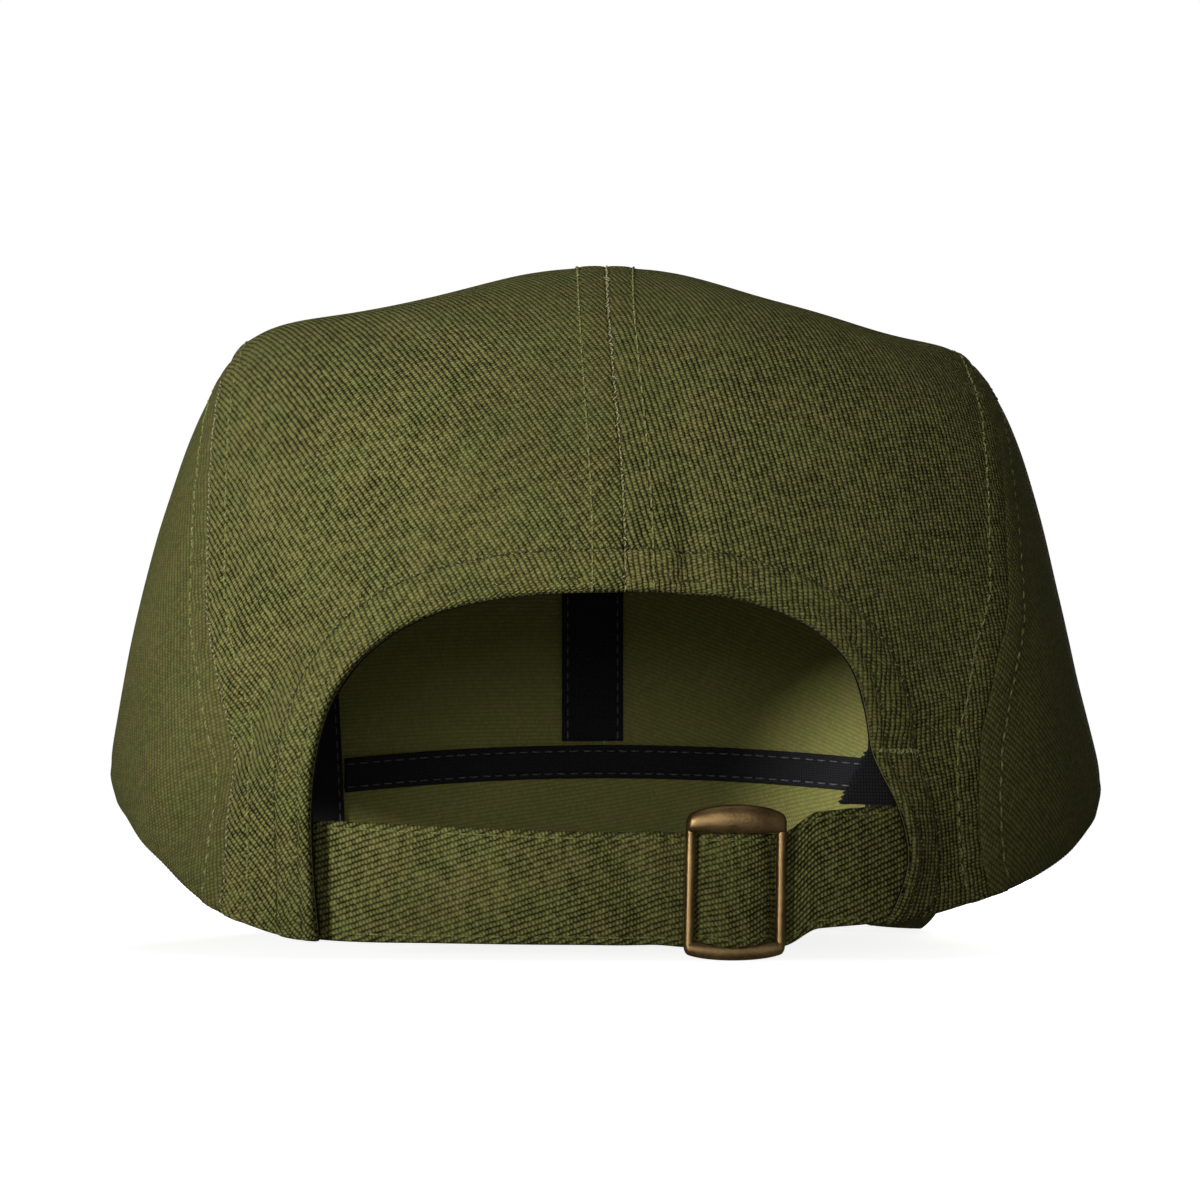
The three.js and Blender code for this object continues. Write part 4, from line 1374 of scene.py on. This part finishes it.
def make_fold():
    """Folded-over end of the facing: ribbed black cloth with a toothed edge."""
    half = OPENING_WIDTH / 2
    low = STRAP_WIDTH * 1.3 + SEAM_GAP
    steps = 56
    rise, run = np.meshgrid(np.linspace(0, 1, steps), np.linspace(0, 1, steps), indexing="ij")
    height = low + (FOLD_TOP - low) * rise
    tip = -half + FOLD_REACH + (FOLD_TIP - FOLD_REACH) * rise
    outer = -half - FACING_WIDTH / 2
    across = tip + (outer - tip) * run
    comb = 0.22 * np.sin((height - 0.5 * tip) * (2 * math.pi / 0.95))
    across = across + comb * (1 - run)
    spots = spot_behind(across.ravel(), height.ravel())
    ribs = 0.22 * np.sin((height - 0.5 * across).ravel() * (2 * math.pi / 0.95))
    border = np.minimum(np.minimum(rise, 1 - rise), np.minimum(run, 1 - run)).ravel()
    soft = 0.3 * (1 - np.clip(border * 9, 0, 1)) ** 2
    start = TAPE_INSIDE + SEAM_GAP
    front, _ = backing_surface(spots, start + TAPE - soft + ribs, swayed=False)
    back, _ = backing_surface(spots, start + soft, swayed=False)
    index = np.arange(steps * steps).reshape(steps, steps)
    quads = np.stack([index[:-1, :-1], index[:-1, 1:], index[1:, 1:], index[1:, :-1]], axis=-1)
    quads = quads.reshape(-1, 4)
    ring = np.concatenate([index[0], index[1:, -1], index[-1, -2::-1], index[-2:0:-1, 0]])
    beside_it = np.roll(ring, -1)
    count = steps * steps
    wall = np.stack([ring, ring + count, beside_it + count, beside_it], axis=1)
    faces = quads.tolist() + (quads[:, ::-1] + count).tolist() + wall.tolist()
    cloth = np.stack([across.ravel(), height.ravel()], axis=1)
    points = np.concatenate([front, back])
    piece = make_piece(
        "facing_fold",
        points,
        faces,
        [BLACK_TAPE],
        ["facing_end_fold"],
        np.concatenate([cloth, cloth]),
    )
    fix_normals(piece.data)


# Strap.
STRAP_STEP = 0.6
STRAP_HEM = 1.7
STRAP_STITCH = 1.15
STRAP_LOW_ROW = 1.3
STRAP_END_LIFT = 6
STRAP_LOW_SHARES = (0, 0.012, 0.035)
STRAP_HIGH_SHARES = (0.88, 0.9, 0.912, 0.925, 0.94, 0.965, 0.988, 1)
# Where the strap stands in or out, how far that reaches along it, and by how much.
STRAP_SLACK = table(
    "across reach out",
    (-4.2, 2.6, -0.75),
    (-9, 2.2, 0.4),
    (1.5, 3, 0.3),
    (24, 6, -0.5),
    (36, 5, 0.35),
    (-34, 3.2, -0.5),
)
WINDOW_HALF = BUCKLE_WIDTH / 2 - BUCKLE_SIDE_BAR
GATHERED_LOW = BUCKLE_BOTTOM_BAR + SEAM_GAP
GATHERED_HIGH = GATHERED_LOW + STRAP_WIDTH * STRAP_GATHER


def strap_line(across):
    row = 2
    share = np.abs(across) / ((CROWN_WIDTH / 2) * CROWN_ROWS["across"][row])
    square = CROWN_ROWS["square"][row]
    back = CROWN_BACK * CROWN_ROWS["back"][row] * (1 - share**square) ** (1 / square)
    return back - TAPE_INSIDE - SEAM_GAP - STRAP_SETBACK


def strap_place(across, share):
    """Points of the strap's outer face at shares of its width up from its lower edge."""
    aside = np.abs(across - BUCKLE_ACROSS) / (BUCKLE_WIDTH / 2)
    held = 1 - smooth_step(STRAP_GATHER_START, STRAP_GATHER_END, aside)
    at = across / (OPENING_WIDTH / 2)
    low = STRAP_WIDTH * look_up(STRAP_ROWS, "across", "low", at)
    high = STRAP_WIDTH * look_up(STRAP_ROWS, "across", "high", at)
    hidden = smooth_step(OPENING_WIDTH / 2 + 2, OPENING_WIDTH / 2 + 6, -across)
    low = low + STRAP_END_LIFT * hidden
    window = np.abs(across - BUCKLE_ACROSS) / (0.96 * WINDOW_HALF)
    hump = np.clip(1 - window**2.6, 0, 1) ** 0.75
    flank = 4 * hump * (1 - hump)
    low = low + (GATHERED_LOW - 1.3 + 0.7 * flank - low) * held
    high = high + (GATHERED_HIGH - high) * held
    height = low + (high - low) * share
    out = strap_line(across) + (STRAP_BULGE + 0.25) * hump - 0.35 * held * (1 - hump)
    middle = 1 - (2 * share - 1) ** 2
    out = out + 0.35 * middle + 0.6 * hump * (middle - 1) * np.clip(2 * share - 1, 0, 1) ** 3
    out = out + 1.25 * hump * (1 - smooth_step(0, 0.2, share))
    lean = across - 0.22 * (share - 0.5) * STRAP_WIDTH
    for at_across, reach, amount in rows_of(STRAP_SLACK):
        out = out + amount * bell(lean - at_across, reach)
    return np.stack([across, out, height], axis=-1)


def make_strap():
    end = OPENING_WIDTH / 2 + STRAP_TUCK
    across = np.linspace(-end, end, int(2 * end / STRAP_STEP) + 1)
    half = STRAP_CLOTH / 2
    face = np.concatenate([STRAP_LOW_SHARES, np.linspace(0.07, 0.86, 26), STRAP_HIGH_SHARES])
    columns, cloths = [], []
    for share in face:
        place = strap_place(across, np.full(len(across), share))
        from_top = (1 - share) * STRAP_WIDTH
        from_low = share * STRAP_WIDTH
        edge = min(from_top, from_low)
        drop = half * (1 - math.sqrt(1 - max(0, 1 - edge / half) ** 2))
        hem = 0.28 if from_top < STRAP_HEM else 0
        row = -0.34 * bell(from_top - STRAP_STITCH, 0.26) - 0.14 * bell(from_low - STRAP_LOW_ROW, 0.35)
        pucker = 0.1 * np.sin(across * (2 * math.pi / 2.3) + np.sin(across)) * bell(from_top - 1.2, 1.6)
        place[:, 1] += hem + row + pucker - drop
        columns.append(place)
        cloths.append(np.stack([-across, np.full(len(across), from_low)], axis=1))
    for share in face[::-1][1:-1:2]:
        place = strap_place(across, np.full(len(across), share))
        edge = min((1 - share) * STRAP_WIDTH, share * STRAP_WIDTH)
        drop = half * (1 - math.sqrt(1 - max(0, 1 - edge / half) ** 2))
        place[:, 1] -= STRAP_CLOTH - 0.9 * drop
        columns.append(place)
        cloths.append(np.stack([-across, np.full(len(across), share * STRAP_WIDTH)], axis=1))
    make_tube("strap", columns, cloths, STRAP_TWILL, "back_strap", turned=True)
    rows = []
    fine = np.linspace(-end + 1, end - 1, 400)
    for share in (1 - STRAP_STITCH / STRAP_WIDTH, STRAP_LOW_ROW / STRAP_WIDTH):
        line = strap_place(fine, np.full(len(fine), share))
        out = np.cross(np.gradient(line, axis=0), [0, 0, 1.0])
        rows.append((line, unit(out) * np.sign(out[:, 1:2])))
    make_stitches("stitches_strap", rows, OLIVE_THREAD, "twill", **STRAP_STITCHES)


# Slide buckle.
CAP_END = 1.7
ROD_SQUARE = 0.84


def bar_along(path, half_aside, half_out, aside, out, round_end):
    """Closed rod along a path of points, with rounded sections and ends."""
    around = 24
    angle = np.arange(around) * (2 * math.pi / around)
    along = run_of(path)
    near = np.clip(1 - np.minimum(along, along[-1] - along) / round_end, 0, 1)
    scale = np.sqrt(np.maximum(1 - near**2, 0.02))
    ring_aside = signed_power(np.cos(angle), ROD_SQUARE)
    ring_out = signed_power(np.sin(angle), ROD_SQUARE)
    points = (
        path[:, None, :]
        + (half_aside * scale)[:, None, None] * ring_aside[None, :, None] * np.array(aside)
        + (half_out * scale)[:, None, None] * ring_out[None, :, None] * np.array(out)
    )
    return points.reshape(-1, 3), tube_faces(len(path), around)


def make_buckle():
    """Domed slide: X across, Y out from the strap, Z up from the surface, then set in place."""
    half = BUCKLE_WIDTH / 2
    window_top = GATHERED_HIGH + SEAM_GAP
    height = window_top + BUCKLE_TOP_BAR
    steps = 60
    x = half * np.sin(np.linspace(-math.pi / 2, math.pi / 2, steps))
    arch = np.sqrt(np.clip(1 - (x / (half * 1.02)) ** 2, 0, 1))
    parts = []
    top_high = window_top + CAP_END + (BUCKLE_TOP_BAR + 0.3 - CAP_END) * arch
    top_low = window_top - 0.1 - 0.25 * arch
    foot_low = 1.6 * (1 - arch)
    foot_high = BUCKLE_BOTTOM_BAR + 0.45 - 0.75 * arch
    for low, high, dome in ((top_low, top_high, 0.85), (foot_low, foot_high, 0.25)):
        deep = 0.85 + dome * arch
        path = np.stack([x, SEAM_GAP + deep, (high + low) / 2], axis=1)
        parts.append(bar_along(path, (high - low) / 2, deep, (0, 0, 1), (0, -1, 0), 0.8))
    rods = (
        (half - BUCKLE_SIDE_BAR / 2, BUCKLE_SIDE_BAR / 2, SEAM_GAP + BUCKLE_THICK / 2),
        (BUCKLE_SIDE_BAR / 2 - half, BUCKLE_SIDE_BAR / 2, SEAM_GAP + BUCKLE_THICK / 2),
        (0, BUCKLE_CENTRE_BAR / 2, STRAP_BULGE - STRAP_CLOTH - 2 * SEAM_GAP - BUCKLE_THICK / 2),
    )
    for across, wide, out in rods:
        z = np.linspace(1.8, height - 1.8, 40)
        path = np.stack([np.full(40, across), np.full(40, out), z], axis=1)
        wide, thick = np.full(40, wide), np.full(40, BUCKLE_THICK / 2)
        parts.append(bar_along(path, wide, thick, (1, 0, 0), (0, 1, 0), 0.3))
    slope = (strap_line(BUCKLE_ACROSS + half) - strap_line(BUCKLE_ACROSS - half)) / BUCKLE_WIDTH
    turn = math.atan(slope)
    objects = []
    for points, faces in parts:
        across = points[:, 0] + BUCKLE_LEAN * (points[:, 2] - height / 2)
        out = points[:, 1]
        placed = points.copy()
        placed[:, 0] = across * math.cos(turn) - out * math.sin(turn) + BUCKLE_ACROSS
        placed[:, 1] = across * math.sin(turn) + out * math.cos(turn)
        placed[:, 1] += strap_line(BUCKLE_ACROSS)
        mesh = bpy.data.meshes.new("bar")
        mesh.from_pydata(((placed + SHIFT) * MM).tolist(), [], faces)
        objects.append(add_object("bar", mesh))
    for piece in objects:
        fix_normals(piece.data)
    buckle = objects[0]
    buckle.name = "buckle"
    for other in objects[1:]:
        union = buckle.modifiers.new("union", "BOOLEAN")
        union.operation = "UNION"
        union.solver = "EXACT"
        union.object = other
        with_modifiers_applied(buckle)
        bpy.data.objects.remove(other)
    buckle.data.materials.clear()
    buckle.data.materials.append(BRASS)
    buckle.data.polygons.foreach_set("use_smooth", np.ones(len(buckle.data.polygons), bool))
    buckle.data.set_sharp_from_angle(angle=math.radians(38))
    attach(buckle, "root")
    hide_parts("slide_buckle")


def fix_normals(mesh):
    shape = bmesh.new()
    shape.from_mesh(mesh)
    bmesh.ops.recalc_face_normals(shape, faces=shape.faces)
    shape.to_mesh(mesh)
    shape.free()


def with_modifiers_applied(piece):
    evaluated = piece.evaluated_get(bpy.context.evaluated_depsgraph_get())
    mesh = bpy.data.meshes.new_from_object(evaluated)
    piece.modifiers.clear()
    old = piece.data
    piece.data = mesh
    bpy.data.meshes.remove(old)


# Brim.
BRIM_ROWS_AT = (4.5, 10.5, 16.5, 22.5)


def brim_place(around, out, up):
    """Points of the brim: "around" from -1 to 1, "out" from 0 at the rim to 1 at its edge."""

    def root_at(inside):
        turn = 180 - BRIM_TURN * around
        spots = spot_of(turn, np.zeros(len(around)))
        point = crown(spots) - crown_normals(spots) * (dents(spots) + inside)[:, None]
        point[:, 2] = rim_height(turn) - SEAM_GAP - BRIM_SEAT - BRIM_THICK
        return point

    underlap = BRIM_END + (BRIM_UNDERLAP - BRIM_END) * (1 - around**2)
    root = root_at(underlap * np.clip(-out * 10, 0, 1))
    angle = (math.pi / 2) * around
    power = 2 / BRIM_SQUARE
    end = root_at(np.zeros(len(around)))
    end_across = abs(crown(spot_of(np.array([180.0 - BRIM_TURN]), np.zeros(1)))[0, 0])
    end_depth = crown(spot_of(np.array([180.0 - BRIM_TURN]), np.zeros(1)))[0, 1]
    half = end_across + BRIM_END + BRIM_FLARE * np.cos(angle)
    reach = np.cos(angle) ** power
    edge = np.stack(
        [
            half * signed_power(np.sin(angle), power),
            end_depth + (-CROWN_FRONT - BRIM_LENGTH - end_depth) * reach,
            BRIM_ARCH * look_up(BRIM_EDGE, "round", "lift", np.abs(around)),
        ],
        axis=-1,
    )
    share = np.clip(out, 0, 1)
    fallen = end[:, 2] + (edge[:, 2] - end[:, 2]) * (1 - (1 - share) ** BRIM_FALL)
    point = root + (edge - root) * share[:, None]
    point[:, 2] = np.maximum(fallen - share * BRIM_PRESS, 0) + up
    return point


def make_brim():
    around = np.sin(np.linspace(-math.pi / 2, math.pi / 2, 181))
    edge = brim_place(around, np.ones(len(around)), 0)
    root = brim_place(around, np.zeros(len(around)), 0)
    outward = unit(edge[:, :2] - root[:, :2])
    length = np.maximum(np.linalg.norm(edge - root, axis=1), 1)
    from_edge = np.concatenate([[0, 0.12, 0.4, 0.85, 1.5], np.linspace(2.4, BRIM_LENGTH, 60)])
    from_edge = np.concatenate([from_edge, [BRIM_LENGTH + 4]])
    columns, cloths = [], []
    half = BRIM_THICK / 2

    def layer(distance, side):
        """One line along the brim, a distance in from its edge, on its upper or lower face."""
        out = np.where(distance > BRIM_LENGTH, -0.1, 1 - np.minimum(distance / length, 1))
        short = distance > length
        out = np.where(short & (distance <= BRIM_LENGTH), 0.0, out)
        drop = rounding(np.full(len(out), distance), half, half)
        doubled = 0.25 * (1 - smooth_step(BRIM_ROWS_AT[0] + 0.2, BRIM_ROWS_AT[0] + 1.2, distance))
        soft = doubled - 0.25 * sum(bell(distance - row, 0.5) for row in BRIM_ROWS_AT)
        if distance < 1:
            soft = 0
        up = half + side * (half - drop) + (soft if side > 0 else -soft)
        place = brim_place(around, out, up)
        place[:, 2] = np.maximum(place[:, 2], 0)
        turned = half * math.acos(1 - min(distance / half, 1)) + max(distance - half, 0)
        plan = edge[:, :2] - side * outward * min(turned, BRIM_LENGTH)
        plan = np.where((distance > length)[:, None], place[:, :2], plan)
        return place, plan * [-1, 1]

    for distance in from_edge[::-1]:
        place, cloth = layer(distance, 1)
        columns.append(place)
        cloths.append(cloth)
    for distance in from_edge[1:]:
        place, cloth = layer(distance, -1)
        columns.append(place)
        cloths.append(cloth)
    piece = make_tube("brim_cloth", columns, cloths, BRIM_TWILL, "brim")
    fix_normals(piece.data)
    rows = []
    span = np.sin(np.linspace(-0.46 * math.pi, 0.46 * math.pi, 300))
    edge = brim_place(span, np.ones(len(span)), 0)
    root = brim_place(span, np.zeros(len(span)), 0)
    length = np.linalg.norm(edge - root, axis=1)
    for row in BRIM_ROWS_AT:
        kept = length > row + 4
        out = 1 - row / length[kept]
        line = brim_place(span[kept], out, BRIM_THICK)
        beyond = brim_place(span[kept], np.minimum(out + 0.01, 1), BRIM_THICK)
        normals = unit(np.cross(np.gradient(line, axis=0), beyond - line))
        normals *= np.sign(normals[:, 2:3])
        rows.append((line, normals))
    make_stitches("stitches_brim", rows, OLIVE_THREAD, "twill")


make_panels()
make_crown_stitches()
make_seam_thread()
make_bartack()
make_tapes()
make_fold()
make_strap()
make_buckle()
make_brim()


# Stage, with places and sizes in metres.
FLOOR_REACH = 3.0
BACKDROP_RADIUS = 4.0
CAMERA_PLACE = (0.0009, 0.4594, 0.016)
CAMERA_PITCH = 6.74
CAMERA_LENS = 65.7
SENSOR = 36
KEY_PLACE = (0.365, 0.645, 0.08)
KEY_TARGET = (0.05, 0.08, 0.084)
KEY_POWER = 18.5
KEY_SIZE = 0.05
KEY_CONE = 21.6
KEY_BLEND = 0.85
SOFT_TARGET = (0, 0.03, 0.06)
# Name, place, size and power in watts.
SOFT_LIGHTS = (
    ("fill", (0.0, 1.2, 0.05), 0.3, 2.2),
    ("front", (-0.25, -1.2, 0.25), 0.6, 9.0),
    ("top", (0.0, -0.15, 1.3), 0.8, 2.2),
)
WORLD_LIGHT = 0.07


def make_floor():
    """Pale floor that takes the cap's shade. It glows, a painted glow that is weaker near the cap, so
    the floor is darker round it and white away from it.
    """
    mesh = bpy.data.meshes.new("floor")
    corners = [(x * FLOOR_REACH, y * FLOOR_REACH, 0) for x, y in ((-1, -1), (1, -1), (1, 1), (-1, 1))]
    mesh.from_pydata(corners, [], [(0, 1, 2, 3)])
    floor = add_object("floor", mesh)
    nodes = Nodes("floor")
    x, y, _ = nodes.parts(nodes.object_place())
    away = nodes.math("SQRT", nodes.math("MULTIPLY_ADD", x, x, nodes.math("MULTIPLY", y, y)))
    # Painted glow: weaker near the cap, fully white from about 0.3 m away.
    white = nodes.math("MINIMUM", nodes.math("MULTIPLY_ADD", away, 0.6, 0.82), 1.0)
    nodes.shade({"Base Color": (0.85, 0.85, 0.85, 1), "Roughness": 0.9})
    nodes.shade({"Emission Color": WHITE, "Emission Strength": white})
    mesh.materials.append(nodes.material)
    floor.visible_diffuse = False
    floor.visible_glossy = False


def make_backdrop():
    """White all round, which only the camera sees."""
    bpy.ops.mesh.primitive_uv_sphere_add(segments=48, ring_count=24, radius=BACKDROP_RADIUS)
    backdrop = bpy.context.object
    backdrop.name = "backdrop"
    nodes = Nodes("backdrop")
    nodes.shade({"Base Color": (0, 0, 0, 1), "Specular IOR Level": 0})
    nodes.shade({"Emission Color": WHITE, "Emission Strength": 1.0})
    backdrop.data.materials.append(nodes.material)
    backdrop.visible_diffuse = False
    backdrop.visible_glossy = False
    backdrop.visible_shadow = False
    backdrop.visible_transmission = False


def hang_light(light, place, target):
    lamp = add_object(light.name, light)
    lamp.location = place
    lamp.rotation_euler = (Vector(target) - Vector(place)).to_track_quat("-Z", "Y").to_euler()


def make_soft_lights():
    for name, place, size, power in SOFT_LIGHTS:
        light = bpy.data.lights.new(name, "AREA")
        light.size = size
        light.energy = power
        hang_light(light, place, SOFT_TARGET)


def make_key():
    """Lamp at the left whose soft edge leaves the lower right of the cap in shade."""
    light = bpy.data.lights.new("key", "SPOT")
    light.energy = KEY_POWER
    light.shadow_soft_size = KEY_SIZE
    light.spot_size = math.radians(KEY_CONE)
    light.spot_blend = KEY_BLEND
    hang_light(light, KEY_PLACE, KEY_TARGET)


def make_camera():
    data = bpy.data.cameras.new("camera")
    data.sensor_width = SENSOR
    data.lens = CAMERA_LENS
    data.clip_start = 0.01
    camera = add_object("camera", data)
    camera.location = CAMERA_PLACE
    camera.rotation_euler = (math.radians(90 + CAMERA_PITCH), 0, math.pi)
    bpy.context.scene.camera = camera


def make_world():
    world = bpy.data.worlds.new("studio")
    world.use_nodes = True
    background = world.node_tree.nodes["Background"]
    background.inputs["Color"].default_value = WHITE
    background.inputs["Strength"].default_value = WORLD_LIGHT
    bpy.context.scene.world = world
    bpy.context.scene.view_settings.view_transform = "Standard"


make_floor()
make_backdrop()
make_key()
make_soft_lights()
make_camera()
make_world()
